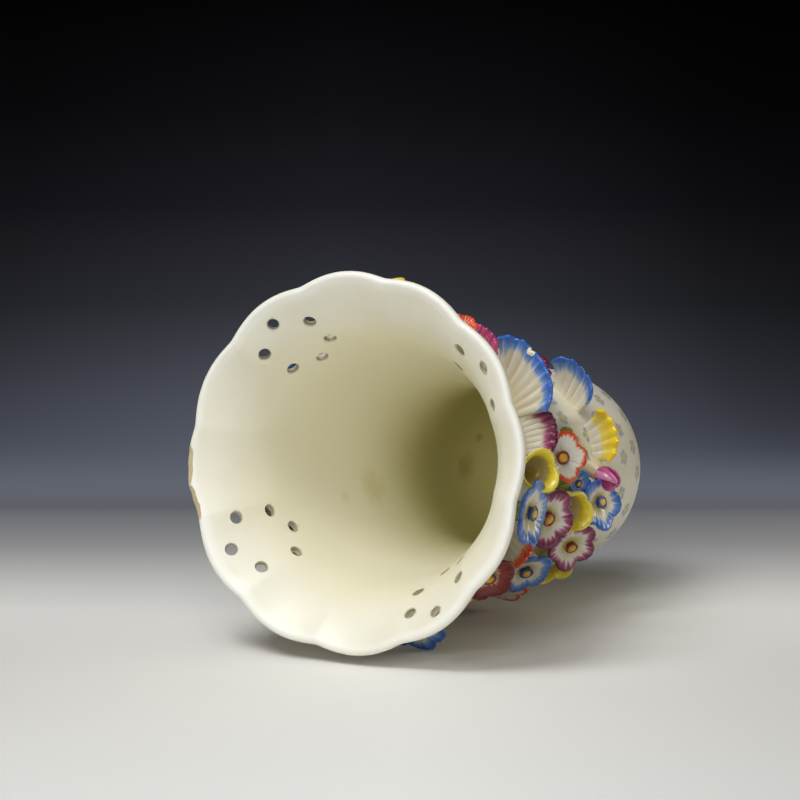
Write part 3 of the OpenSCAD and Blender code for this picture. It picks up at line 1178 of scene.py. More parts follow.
@dataclass
class PlantingTree:
    """Geometry Nodes tree that sets one small form on many turned points."""

    tree: Tree = field(init=False)
    inputs: dict[str, str] = field(init=False)

    def __post_init__(self) -> None:
        """Builds the tree."""
        bench, take, give, self.inputs = start_geometry_tree("planting", {
            "Form": "NodeSocketObject", "Smallest": "NodeSocketFloat",
            "Largest": "NodeSocketFloat", "Seed": "NodeSocketInt", "Finish": "NodeSocketMaterial"})
        form = bench.add("GeometryNodeObjectInfo", {"Object": take["Form"]})
        turn = bench.add("GeometryNodeInputNamedAttribute", {"Name": "turn"},
                         data_type="QUATERNION")
        size = bench.add("FunctionNodeRandomValue", {
            2: take["Smallest"], 3: take["Largest"], "Seed": take["Seed"]}, data_type="FLOAT")
        grow = bench.add("GeometryNodeInputNamedAttribute", {"Name": "grow"}, data_type="FLOAT")
        planted = bench.add("GeometryNodeInstanceOnPoints", {
            "Points": take["Geometry"], "Instance": form.outputs["Geometry"],
            "Rotation": turn.outputs[0], "Scale": bench.times(size.outputs[1], grow.outputs[0])})
        real = bench.add("GeometryNodeRealizeInstances", {0: planted.outputs[0]})
        bench.feed(give, bench.add("GeometryNodeSetMaterial", {
            "Geometry": real.outputs[0], "Material": take["Finish"]}).outputs[0])
        self.tree = bench.tree

    def plant(self, name: str, spots: Sequence[Matrix], form: Object,
              finish: Material, sizes: Pair,
              seed: int) -> Object:
        """Sets a form on points.

        Args:
            name: Name of the piece.
            spots: Place and turn of each copy, in metres.
            form: The form's object, which is deleted afterwards by its owner.
            finish: Material of the copies.
            sizes: Smallest and largest scale.
            seed: Seed of the scales.

        Returns:
            The piece as a plain mesh.
        """
        piece = spots_object(name, spots)
        values = {"Form": form, "Smallest": sizes[0], "Largest": sizes[1], "Seed": seed,
                  "Finish": finish}
        run_tree(piece, self.tree, {self.inputs[key]: value for key, value in values.items()})
        piece.data.shade_smooth()
        return piece


# The wall


def settle(piece: Object, slot: str, *nodes: str) -> None:
    """Attaches a finished piece to the body and hides the nodes that it stands for.

    Args:
        piece: The piece.
        slot: The record's material slot; not used.
        *nodes: Nodes that the piece stands for.
    """
    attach(piece, BODY)
    if nodes:
        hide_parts(*nodes)
    LOG.info("%s: %d faces", piece.name, len(piece.data.polygons))


@dataclass
class RimChip:
    """Place on the lip where the glaze has broken away.

    Attributes:
        azimuth: Its middle, in degrees from +X.
        half: Half of its width, in degrees.
        depth: How far it bites into the lip.
        slant: Tilt of the broken face away from the axis, in degrees.
    """

    azimuth: float
    half: float
    depth: float
    slant: float


@dataclass
class PiercedMouth:
    """Lobed trumpet mouth with its groups of vents (millimetres and degrees)."""

    form: VaseForm
    lobes: int = 12
    notch: float = 2.05
    lip_softness: float = 0.11
    crease_softness: float = 0.05
    sag: float = 1.3
    inset: float = 0.35
    sink: float = 0.55
    # Strength, number and phase of the waves that a hand leaves in the lip's width and height
    width_waves: tuple[Triple, ...] = ((0.30, 2, 0.7), (0.22, 5, 2.1), (0.15, 7, 4.0))
    height_waves: tuple[Triple, ...] = ((0.45, 3, 1.2), (0.25, 4, 5.0))
    segments: int = 480
    rings: int = 36
    lip_steps: int = 14
    vent_groups: int = 4
    vent_count: int = 6
    vent_d: float = 3.9
    vent_ring: float = 12.5
    vent_depth: float = 16.2
    vent_az: float = 30.0
    vent_sides: int = 40
    # Rise and sideways drift of each vent from its place on the regular ring
    vent_shifts: tuple[tuple[Pair, ...], ...] = (
        ((2.6, -1.0), (2.9, -1.3), (2.7, 0.8), (1.2, 0.5), (2.3, -0.6), (4.0, -0.3)),
        ((-1.2, -1.7), (-1.0, -1.7), (2.2, -0.5), (0.7, -1.3), (1.9, -1.0), (0.8, 0.6)),
        ((1.5, 0.4), (1.5, -0.3), (3.5, 1.6), (1.9, -0.6), (3.8, -0.6), (4.5, 1.5)),
        ((1.5, 0.0), (1.5, 0.5), (3.5, 0.8), (1.3, -0.2), (3.5, -2.0), (1.5, -0.4)))
    chips: tuple[RimChip, ...] = (RimChip(87.6, 6.2, 1.0, 26.0), RimChip(99.6, 6.0, 1.15, 30.0))
    sharp: float = 42.0

    def line(self) -> Array:
        """Section of the wall, from the joint up inside, over the lip and down outside.

        Returns:
            Radius, height and depth below the lip of each ring.
        """
        form, made = self.form, []
        heights = [form.lip_z - form.mouth_h * (i / self.rings) ** form.flare_exponent
                   for i in range(self.rings + 1)]

        def point(i: int, side: int) -> list[float]:
            """Ring i on the inner (-1) or outer (1) side.

            Args:
                i: Number of the ring, counted from the lip.
                side: -1 or 1.

            Returns:
                Its radius, height and depth.
            """
            z = heights[i]
            if i == self.rings:
                return [float(form.neck(z) + side * form.half_skin(z)), z, form.mouth_h]
            spot = np.array([float(form.neck(z)), z]) + side * form.wall / 2 * form.wall_normal(z)
            return [spot[0], spot[1], form.lip_z - z]

        made += [point(i, -1) for i in range(self.rings, -1, -1)]
        normal = form.wall_normal(form.lip_z)
        along = np.array([-normal[1], normal[0]])
        for i in range(1, self.lip_steps + 1):
            b = math.pi * i / (self.lip_steps + 1)
            spot = np.array([form.lip_r, form.lip_z]) - form.wall / 2 * (
                math.cos(b) * normal - math.sin(b) * along)
            made.append([spot[0], spot[1], 0.0])
        made += [point(i, 1) for i in range(self.rings + 1)]
        return np.asarray(made)

    def shell(self) -> Sheet:
        """Surface of the lobed wall before it is pierced.

        Returns:
            Its points, texture coordinates and chip mask.
        """
        line, angle = self.line(), circle(self.segments)
        radius, z, depth = (line[:, k:k + 1] for k in range(3))
        fade = np.clip(1 - depth / self.form.mouth_h, 0, 1) ** self.form.flare_exponent
        wave = np.cos(angle * self.lobes / 2)
        softer = self.lip_softness - self.crease_softness
        soft = self.crease_softness + softer * np.exp(-depth / 1.5)
        crest = np.sqrt(wave ** 2 + soft ** 2) / np.sqrt(1 + soft ** 2)
        hand = waves(angle, self.width_waves)
        radius = radius - fade * (self.notch * (1 - crest) + self.inset - 0.6 * hand)
        bulge = np.sin(math.pi * np.clip(depth / self.form.mouth_h, 0, 1))
        radius = radius + self.sag * bulge * np.clip(-np.sin(angle + 0.25), 0, 1)
        sway = waves(angle, self.height_waves)
        z = np.broadcast_to(z, radius.shape) + fade * (sway - self.sink)
        radius, z, chip = self.break_lip(radius, z, angle)
        uv = chart(angle / FULL_TURN, run_length(line[:, :2])[:, None])
        return polar(radius, angle, z), uv, chip

    def break_lip(self, radius: Array, z: Array, angle: Array) -> Sheet:
        """Cuts the chips off the lip, each as one flat broken face.

        Args:
            radius: Radius of each point.
            z: Height of each point.
            angle: Azimuth of each column, in radians.

        Returns:
            The new radii and heights, and the mask of broken surface.
        """
        chip_mask = np.zeros_like(radius)
        for chip in self.chips:
            off = (np.degrees(angle) - chip.azimuth) / chip.half
            out, up = math.sin(math.radians(chip.slant)), math.cos(math.radians(chip.slant))
            level = out * radius + up * z
            bite = chip.depth * np.clip(1 - np.abs(off) ** 3, 0, 1) * (1 + 0.1 * np.sin(off * 7.0))
            over = np.maximum(level - (level.max(axis=0, keepdims=True) - bite), 0)
            radius, z = radius - out * over, z - up * over
            chip_mask = np.maximum(chip_mask, smooth(over, 0.02, 0.1))
        return radius, z, chip_mask

    def vents(self) -> list[Matrix]:
        """Vents, each with its own Z along the wall's normal.

        Returns:
            Place and turn of each, in metres.
        """
        form, made = self.form, []
        steep = float(form.slope(form.lip_z - self.vent_depth))
        for group in range(self.vent_groups):
            for k in range(self.vent_count):
                turn = FULL_TURN * k / self.vent_count
                along, across = self.vent_ring * math.cos(turn), self.vent_ring * math.sin(turn)
                rise, drift = self.vent_shifts[group][k]
                z = form.lip_z - self.vent_depth - along / math.hypot(1, steep) + rise
                radius = float(form.neck(z))
                az = math.radians(self.vent_az + 360 / self.vent_groups * group)
                az += (across + drift) / radius
                out = form.wall_normal(z)
                axis = Vector((out[0] * math.cos(az), out[0] * math.sin(az), out[1]))
                side = Vector((-math.sin(az), math.cos(az), 0))
                made.append(frame_at(Vector((radius * math.cos(az), radius * math.sin(az), z)),
                                     side, axis))
        return made

    def cutter(self) -> Object:
        """Flared drill that leaves a vent with softened edges.

        Returns:
            The drill, with the middle of the wall at its origin.
        """
        half, r, end = self.form.wall / 2, self.vent_d / 2, 6.0
        line = np.array([(0.0, -end), (r + 1.4, -end), (r + 0.5, -half - 0.1),
                         (r + 0.2, -half + 0.3), (r + 0.08, -half + 0.7), (r + 0.6, half - 0.7),
                         (r + 0.85, half - 0.3), (r + 1.25, half + 0.15), (r + 2.8, end),
                         (0.0, end)])
        return turned("vent_drill", line, self.vent_sides)

    def pierce(self, shell: Object, finish: Material) -> None:
        """Cuts the vents with a Geometry Nodes tree.

        Args:
            shell: The lobed shell, whose mesh is replaced.
            finish: Its material.
        """
        bench, take, give, idents = start_geometry_tree("pierced wall", {
            "Spots": "NodeSocketObject", "Drill": "NodeSocketObject",
            "Finish": "NodeSocketMaterial"})
        spots = bench.add("GeometryNodeObjectInfo", {"Object": take["Spots"]})
        drill = bench.add("GeometryNodeObjectInfo", {"Object": take["Drill"]})
        turn = bench.add("GeometryNodeInputNamedAttribute", {"Name": "turn"},
                         data_type="QUATERNION")
        drills = bench.add("GeometryNodeInstanceOnPoints", {
            "Points": spots.outputs["Geometry"], "Instance": drill.outputs["Geometry"],
            "Rotation": turn.outputs[0]})
        real = bench.add("GeometryNodeRealizeInstances", {0: drills.outputs[0]})
        cut = bench.add("GeometryNodeMeshBoolean", operation="DIFFERENCE", solver="EXACT")
        bench.fill(cut, {"Mesh 1": take["Geometry"], "Mesh 2": real.outputs[0]})
        bench.feed(give, bench.add("GeometryNodeSetMaterial", {
            "Geometry": cut.outputs[0], "Material": take["Finish"]}).outputs[0])
        points, tool = spots_object("vent_spots", self.vents()), self.cutter()
        run_tree(shell, bench.tree, {idents["Spots"]: points, idents["Drill"]: tool,
                                     idents["Finish"]: finish})
        drop(points)
        drop(tool)

    def build(self, box: PaintBox) -> None:
        """Makes the mouth.

        Args:
            box: The finishes.
        """
        points, uv, chip = self.shell()
        finish = box.get(IvoryGlaze("ivory_glaze"))
        piece = grid_object("pierced_mouth_glazed", np.concatenate([points, points[:1]]),
                            np.concatenate([uv, uv[-1:] + [0.0, 1.0]]), finish)
        self.pierce(piece, finish)
        spots = mesh_points(piece.data)
        girth = np.hypot(spots[:, 0], spots[:, 1])
        mark_points(piece.data, "inside", smooth(self.form.neck(spots[:, 2]) - girth, -0.6, 0.9))
        mark_points(piece.data, "chip", self.chip_marks(spots, points.reshape(-1, 3), chip.ravel()))
        mark_points(piece.data, "bore", self.bore_shade_marks(spots))
        piece.data.shade_smooth()
        piece.data.set_sharp_from_angle(angle=math.radians(self.sharp))
        settle(piece, "white_glaze", "pierced_mouth")

    def bore_shade_marks(self, spots: Array) -> Array:
        """Mask of the vents' bores, which are darkened as painted shade in the holes.

        Args:
            spots: Vertices of the cut mesh.

        Returns:
            Mask at the vertices.
        """
        marks = np.zeros(len(spots))
        for place in self.vents():
            axis = np.array(place.col[2][:3])
            axis /= np.linalg.norm(axis)
            away = spots - np.array(place.translation) / MM
            along = away @ axis
            reach = np.linalg.norm(away - along[:, None] * axis, axis=1)
            bore = smooth(self.vent_d / 2 + 0.65 - reach, 0.0, 0.45)
            marks = np.maximum(marks, np.where(np.abs(along) < self.form.wall, bore, 0.0))
        return marks

    @staticmethod
    def chip_marks(spots: Array, points: Array, chip: Array) -> Array:
        """Chip mask of the cut mesh, from the nearest point of the shell before it.

        Args:
            spots: Vertices of the cut mesh.
            points: Vertices of the shell.
            chip: Mask at the shell's vertices.

        Returns:
            Mask at the cut mesh's vertices.
        """
        broken = np.flatnonzero(chip > 0.01)
        tree = KDTree(len(broken))
        for k in broken:
            tree.insert(points[k], int(k))
        tree.balance()
        marks = np.zeros(len(spots))
        for k in np.flatnonzero(spots[:, 2] > points[broken, 2].min() - 1):
            _, index, far = tree.find(spots[k])
            if far < 0.05:
                marks[k] = chip[index]
        return marks


def frame_at(spot: Vector, side: Vector, axis: Vector) -> Matrix:
    """Matrix in metres of a thing that stands at a spot.

    Args:
        spot: The place, in millimetres.
        side: Direction of its own Y.
        axis: Direction of its own Z.

    Returns:
        The matrix.
    """
    axis = axis.normalized()
    side = (side - axis * side.dot(axis)).normalized()
    ahead = side.cross(axis)
    turn = Matrix((ahead, side, axis)).transposed()
    return Matrix.Translation(spot * MM) @ turn.to_4x4()


@dataclass
class VaseBody:
    """Globular body with its neck, and the foot ring under it (millimetres)."""

    form: VaseForm
    segments: int = 240
    belly_steps: int = 26
    shoulder_steps: int = 26
    neck_steps: int = 36
    foot_round: float = 1.2
    sharp: float = 42.0
    foot_sharp: float = 50.0

    def build(self, box: PaintBox) -> None:
        """Makes the body and the foot ring.

        Args:
            box: The finishes.
        """
        finish = box.get(IvoryGlaze("sprigged_glaze", Sprigs()))
        self.build_body(finish)
        self.build_foot(finish)

    def build_body(self, finish: Material) -> None:
        """Makes the body with its hollow.

        Args:
            finish: Its material.
        """
        form = self.form
        floor_z = form.foot_h + form.floor_t
        rise = np.concatenate([
            form.foot_h + (form.bulb_z - form.foot_h) * np.linspace(0, 1, self.belly_steps) ** 1.5,
            np.linspace(form.bulb_z, form.waist_z, self.shoulder_steps)[1:],
            np.linspace(form.waist_z, form.joint_z, self.neck_steps)[1:]])
        outside = np.stack([form.outer(rise), rise], axis=1)
        deep = rise[rise > floor_z + 0.6]
        hollow = np.stack([form.inner(deep), deep], axis=1)[::-1]
        edge = float(form.inner(floor_z))
        under = [(0.0, form.foot_h), (outside[0, 0] * 0.5, form.foot_h)]
        base = [(edge, floor_z), (edge * 0.75, floor_z), (edge * 0.4, floor_z), (0.0, floor_z)]
        line = np.concatenate([under, outside, hollow, base])
        points, uv = lathe(line, self.segments)
        uv[..., 1] = run_length(line)[:, None]
        piece = grid_object("body_glazed", points, uv, finish)
        spots = mesh_points(piece.data)
        middle = (form.outer(spots[:, 2]) + form.inner(spots[:, 2])) / 2
        girth = np.hypot(spots[:, 0], spots[:, 1])
        inside = (girth < middle) & (spots[:, 2] > form.foot_h + 0.1)
        mark_points(piece.data, "inside", inside.astype(float))
        piece.data.set_sharp_from_angle(angle=math.radians(self.sharp))
        settle(piece, "white_glaze", "body")

    def build_foot(self, finish: Material) -> None:
        """Makes the foot ring.

        Args:
            finish: Its material.
        """
        form, r = self.form, self.foot_round
        inside = form.foot_r - form.foot_w
        swing = np.radians(np.linspace(-90, 0, 8))
        toe = [(form.foot_r - r + r * math.cos(a), r + r * math.sin(a)) for a in swing]
        h = r * 0.6
        heel = [(inside + h - h * math.cos(a), h + h * math.sin(a)) for a in swing[::-1]]
        top = [(form.foot_r - 0.4, form.foot_h * 0.6), (form.foot_r - r, form.foot_h),
               (inside + r, form.foot_h)]
        line = np.asarray(toe + top + heel + toe[:1])
        piece = turned("foot_ring_glazed", line, self.segments, finish)
        piece.data.set_sharp_from_angle(angle=math.radians(self.foot_sharp))
        settle(piece, "white_glaze", "foot_ring")


# Petals and flowers


@dataclass(frozen=True)
class FrillPetal:
    """One fluted fan of a frill.

    Attributes:
        place: Place in the ring.
        tint: Enamel of its edge.
        size: Size as a share of a full petal.
        turn: Turn away from its place, in degrees.
        lift: Lift of its edge, as a share of the usual lift.
        chip: Place of a chip on its edge, from -1 to 1, or None.
    """

    place: int
    tint: Tint
    size: float = 1.0
    turn: float = 0.0
    lift: float = 1.0
    chip: Optional[float] = None


@dataclass
class Frill:
    """Ring of fluted fan petals (millimetres and degrees)."""

    form: VaseForm
    ring: str
    root_z: float
    edge_r: float
    petals: tuple[FrillPetal, ...]
    rise: float = 14.0
    lift: float = 3.5
    spread: float = 14.6
    root_half: float = 7.0
    places: int = 14
    first_az: float = 9.0
    thickness: float = 1.7
    flutes: int = 7
    flute_h: float = 0.65
    scallop: float = 0.8
    bite: float = 1.5
    curl: float = 1.4
    widen: float = 0.62
    corner: float = 0.26
    across_steps: int = 84
    along_steps: int = 22
    seed: int = 700

    def build(self, box: PaintBox) -> None:
        """Makes every petal of the ring.

        Args:
            box: The finishes.
        """
        for number, petal in enumerate(self.petals, start=1):
            node = f"{self.ring}_frill_{number}"
            skin = Skin()
            middle, half, uv, groove = self.sheet(petal)
            skin.shell(middle, half, uv, mark=groove)
            piece = skin.piece(f"{node}_painted", [box.get(FANS[petal.tint])])
            settle(piece, petal.tint.slot, node)

    def sheet(self, petal: FrillPetal) -> tuple[Array, Array, Array, Array]:
        """Middle surface, half thickness, texture coordinates and groove marks of a petal.

        Args:
            petal: The petal.

        Returns:
            The four grids.
        """
        rng = np.random.default_rng(self.seed + petal.place)
        fine = np.array([0.985, 0.994, 1.0])
        half_u = np.concatenate([np.linspace(0, 0.97, self.across_steps // 2), fine])
        u = np.concatenate([-half_u[:0:-1], half_u])[None, :]
        v = np.concatenate([np.linspace(0, 0.96, self.along_steps), [0.975], fine])[:, None]
        root_r = float(self.form.outer(self.root_z)) - self.bite
        root_a = math.degrees(self.root_half / root_r)
        spread = petal.size * self.spread * rng.uniform(0.97, 1.03)
        phase = rng.uniform(-0.5, 0.5)
        fold = math.pi * self.flutes * u + phase + 0.7 * np.sin(3 * u + phase)
        strength = 0.75 + 0.35 * np.sin(5 * u + rng.uniform(0, 6))
        flute = strength * (np.cos(fold) + 0.14 * np.cos(2 * fold + rng.uniform(0, 6)))
        length = petal.size * (self.edge_r - root_r)
        reach = length * (1 - self.corner * np.abs(u) ** 3.2 * v)
        wavy = 0.9 * np.sin(2.3 * u + rng.uniform(0, 6)) + 0.5 * np.sin(5.1 * u + rng.uniform(0, 6))
        radius = root_r + reach * v - self.scallop * v ** 3 * (1 - flute) / 2 + 0.35 * wavy * v ** 2
        radius = radius - 0.8 * v ** 3
        chipped = np.zeros_like(radius)
        if petal.chip is not None:
            bite = np.clip(1 - ((u - petal.chip) / 0.085) ** 2, 0, 1) * (1 + 0.25 * np.sin(u * 70))
            radius = radius - 1.3 * bite * v ** 6
            chipped = smooth(bite, 0.05, 0.4) * smooth(v, 0.92, 0.95)
        swing = np.radians(self.first_az - 90 + 360 / self.places * petal.place + petal.turn
                           + u * (root_a + (spread - root_a) * v ** self.widen))
        roll = smooth(v, 0.72, 1.0)
        rise = petal.size * (self.rise + self.lift * petal.lift)
        z = (self.root_z + rise * v ** self.curl + self.flute_h * v * flute
             + 1.6 * u ** 2 * v + 0.5 * wavy * v ** 3 - 1.1 * roll ** 2)
        middle = polar(radius, swing, z)
        side_gap = (1 - np.abs(u)) * np.radians(spread) * radius
        gap = np.minimum(np.minimum((1 - v) * length, side_gap), v * length)
        half = rounded_half(gap, self.thickness) * (1 + 0.35 * (1 - v))
        painted = np.minimum((1 - v) * length, side_gap * 1.5 + 5.0 * (1 - v) ** 2 * 4)
        inward = np.clip(1 - painted / 22.0, 0, 1) * (1 - 0.75 * chipped)
        uv = chart(0.25 + 0.22 * u, inward)
        # Painted shade in the flutes' valleys and towards the root.
        groove = smooth(-flute, -0.1, 0.9) * smooth(v, 0.02, 0.2) + 0.35 * (1 - v)
        return middle, half, uv, np.broadcast_to(groove, radius.shape)


@dataclass(frozen=True)
class Spot:
    """Planting of one flower.

    Attributes:
        kind: Its form.
        tint: Its enamel.
        azimuth: Azimuth from the front, in degrees.
        rise: Height above the row's roots, as a share of an open flower.
        tilt: Tilt up from level, in degrees.
        reach: Length beyond the usual stalk, as a share of an open flower.
        peeps: True where it peeps over the lip.
        size: Size as a share of the usual one.
        lean: Turn of its face towards a larger azimuth, in degrees.
    """

    kind: Kind
    tint: Tint
    azimuth: float
    rise: float
    tilt: float
    reach: float
    peeps: bool = False
    size: float = 1.0
    lean: float = 0.0


@dataclass(frozen=True)
class FlowerSizes:
    """Sizes that all the flowers share (millimetres)."""

    primrose_d: float = 24.0
    floret_d: float = 16.0
    cup_d: float = 17.0
    bud_d: float = 10.5
    petal_t: float = 1.5
    dish: float = 2.6
    stalk_d: float = 7.0
    pad_d: float = 12.0
    stalk_len: float = 10.5
    peep: float = 6.0
    bed: float = 0.9
    petals: int = 5

    def width(self, spot: Spot) -> float:
        """Diameter of the flower at a spot.

        Args:
            spot: Where the flower sits, with its kind and size.

        Returns:
            The diameter in millimetres.
        """
        widths = {PRIMROSE: self.primrose_d, FLORET: self.floret_d, CUP: self.cup_d,
                  BUD: self.bud_d}
        return spot.size * widths[spot.kind]


@dataclass
class FlowerRow:
    """Row of modelled flowers round the vase."""

    form: VaseForm
    row: str
    root_z: float
    spots: tuple[Spot, ...]
    sizes: FlowerSizes = FlowerSizes()
    around: int = 120

    def build(self, box: PaintBox) -> list[tuple[Spot, Matrix, float]]:
        """Makes every flower of the row.

        Args:
            box: The finishes.

        Returns:
            For each open flower, its spot, the place of its stamen and the stamen's scale.
        """
        hearts = []
        for number, spot in enumerate(self.spots, start=1):
            node = f"{self.row}_{spot.kind.value}_{number}"
            rng = np.random.default_rng(sum(map(ord, node)) * 7 + number)
            root = self.root_z + spot.rise * self.sizes.primrose_d
            stand = self.form.stand(spot.azimuth, root, spot.tilt, spot.lean)
            length = self.sizes.stalk_len + spot.reach * self.sizes.primrose_d
            length += self.sizes.peep if spot.peeps else 0.0
            width = self.sizes.width(spot)
            skin = Skin()
            skin.grid(*self.stalk(spot, stand, length), finish=1)
            enamel, stem = ENAMELS[spot.tint], STALK_GREEN
            if spot.kind is FLORET:
                enamel = FLORETS[spot.tint]
            if spot.kind is CUP:
                enamel, stem = YELLOW_CUP, STALK_CREAM
                sheet = self.cup(width, length, rng)
            elif spot.kind is BUD:
                enamel, stem = PINK_BUD, STALK_CREAM
                sheet = self.bud(width, length, rng)
            else:
                teeth = 0.014 if spot.tint is ORANGE else 0.005
                sheet = self.corolla(width, length, teeth, rng)
                heart = Matrix.Translation((0, 0, (length + 0.6) * MM))
                nod = Matrix.Rotation(rng.uniform(-0.2, 0.2), 4, "X") @ Matrix.Rotation(
                    rng.uniform(-0.2, 0.2), 4, "Y")
                hearts.append((spot, stand @ heart @ nod, width / self.sizes.primrose_d))
            middle, half, uv = sheet
            skin.shell(self.placed(middle, stand), half, uv)
            piece = skin.piece(f"{node}_painted", [box.get(enamel), box.get(stem)])
            settle(piece, spot.tint.slot, node)
        return hearts

    @staticmethod
    def placed(points: Array, stand: Matrix) -> Array:
        """Points of a flower's own frame, moved to their place in the vase."""
        turn = np.asarray(stand.to_3x3())
        return points @ turn.T + np.asarray(stand.to_translation()) / MM

    def stalk(self, spot: Spot, stand: Matrix, length: float) -> tuple[Array, Array]:
        """Stalk whose pad lies on the wall.

        Args:
            spot: The flower's spot.
            stand: Its frame.
            length: Length of the stalk.

        Returns:
            Points and texture coordinates.
        """
        pad, neck = self.sizes.pad_d / 2, self.sizes.stalk_d / 2
        end = length - (self.sizes.width(spot) / 4 if spot.kind is CUP else 0.0)
        line = soften([(pad, 0.0), (pad * 0.86, end * 0.18), (neck * 1.12, end * 0.55),
                       (neck, end * 0.85), (neck * 0.9, end + 0.5)], 12)
        points, uv = lathe(line, 32)
        points = self.placed(points, stand)
        axis = np.asarray(stand.to_3x3())[:, 2]
        low, high = np.full(points.shape[1], -14.0), np.full(points.shape[1], 9.0)
        for _ in range(24):
            middle = (low + high) / 2
            probe = points[0] + middle[:, None] * axis
            out = np.hypot(probe[:, 0], probe[:, 1]) > self.form.outer(probe[:, 2]) - self.sizes.bed
            low, high = np.where(out, low, middle), np.where(out, middle, high)
        share = np.clip(1 - uv[:, :, 1] / 0.6, 0, 1) ** 1.5
        points = points + (share * low[None, :])[..., None] * axis
        ends = [np.repeat(ring.mean(axis=0)[None, :], len(ring), axis=0)
                for ring in (points[0], points[-1])]
        closed = np.concatenate([ends[0][None], points, ends[1][None]])
        uv = np.concatenate([uv[:1], uv, uv[-1:]])
        return closed, uv

    def corolla(self, width: float, length: float, teeth: float,
                rng: np.random.Generator) -> Sheet:
        """Open flower of five joined petals with a wavy edge.

        Args:
            width: Its diameter.
            length: Height of its base above the wall.
            teeth: Depth of the small teeth round its edge, as a share of its radius.
            rng: Source of its unevenness.

        Returns:
            Middle surface, half thickness and texture coordinates.
        """
        sizes = self.sizes
        angle = circle(self.around)
        rho = np.concatenate([[0.0, 0.04], np.linspace(0.1, 0.92, 14),
                              [0.95, 0.97, 0.985, 0.995, 1.0]])[:, None]
        turn = rng.uniform(-0.15, 0.15)
        wave = np.cos(sizes.petals / 2 * (angle - turn))
        crest = np.sqrt(wave ** 2 + 0.008) ** 0.58
        uneven = ripple(angle, rng, (2, 3, 4))
        crinkle = teeth * (np.sin(27 * angle + 6 * uneven) + 0.5 * np.sin(43 * angle))
        edge = width / 2 * (0.76 + 0.24 * crest + 0.04 * uneven + crinkle)
        radius = edge * rho
        bowl = 1.3 * sizes.dish * (rho / 1.05) ** 2.0
        ruffle = (rho ** 2) * (0.055 * width * ripple(angle, rng, (2, 3, 5))
                               + 0.03 * width * (crest - 0.6))
        crease = -0.03 * width * rho * (1 - rho) * (1 - crest) * 4
        flutes = 0.1 * rho ** 1.5 * np.cos(25 * (angle - turn) + 2 * uneven)
        curl = -0.035 * width * smooth(rho, 0.75, 1.0) * (0.6 + 0.4 * uneven)
        z = length + 0.9 + bowl + ruffle + crease + flutes + curl
        half = rounded_half((1 - rho) * edge, sizes.petal_t) * (1 + 0.5 * (1 - rho))
        return polar(radius, angle, z), half, chart(angle / FULL_TURN, rho)

    def cup(self, width: float, length: float, rng: np.random.Generator) -> Sheet:
        """Deep cup with a flaring, folded rim.

        Args:
            width: Its diameter.
            length: Length of the stalk.
            rng: Source of its unevenness.

        Returns:
            Middle surface, half thickness and texture coordinates.
        """
        line = soften([(0.0, 0.07), (0.2, 0.09), (0.33, 0.2), (0.385, 0.36), (0.4, 0.5),
                       (0.49, 0.66)], 26) * width
        tip, step = line[-1], line[-1] - line[-2]
        line = np.concatenate([line, [tip + step * k for k in (0.4, 0.7, 0.9)]])
        share = np.linspace(0, 1, len(line))[:, None]
        angle = circle(self.around)
        uneven = ripple(angle, rng, (2, 3))
        lobe = np.abs(np.cos(1.5 * angle + rng.uniform(0, 3))) ** 1.1
        flare = share ** 3
        radius = line[:, :1] * (1 + flare * (0.24 * (lobe - 0.6) + 0.06 * uneven))
        z = (length - width / 3 + line[:, 1:] + flare * (2.6 * (lobe - 0.55) + 0.9 * uneven)
             - 1.6 * lobe * share ** 10)
        run = run_length(line)
        half = rounded_half((run[-1] - run)[:, None], self.sizes.petal_t * 0.9)
        uv = chart(angle / FULL_TURN, (run / run[-1])[:, None])
        return polar(radius, angle, z), half, uv

    def bud(self, width: float, length: float, rng: np.random.Generator) -> Sheet:
        """Closed bud of overlapping petals that wind about its tip.

        Args:
            width: Its diameter.
            length: Length of the stalk.
            rng: Source of its unevenness.

        Returns:
            Middle surface, half thickness and texture coordinates.
        """
        line = soften([(0.0, -0.05), (0.26, 0.02), (0.39, 0.28), (0.4, 0.6), (0.31, 0.9),
                       (0.15, 1.06), (0.0, 1.1)], 30) * width
        share = np.linspace(0, 1, len(line))[:, None]
        angle = circle(self.around)
        twist = np.mod(3 * angle + 5.0 * share + rng.uniform(0, 6), FULL_TURN) / FULL_TURN
        overlap = smooth(twist, 0.0, 0.8) * (1 - smooth(twist, 0.88, 1.0))
        folds = smooth(share, 0.1, 0.5)
        radius = line[:, :1] * (1 + 0.26 * folds * (overlap - 0.5))
        z = length - width / 3 + line[:, 1:] + 0.8 * folds * (overlap - 0.4) * (1 - share ** 6)
        half = 0.2 * np.minimum(1, np.minimum(share, 1 - share) * 12)
        inward = 0.25 + 0.75 * (1 - overlap)
        return polar(radius, angle, z), half, chart(angle / FULL_TURN, inward)


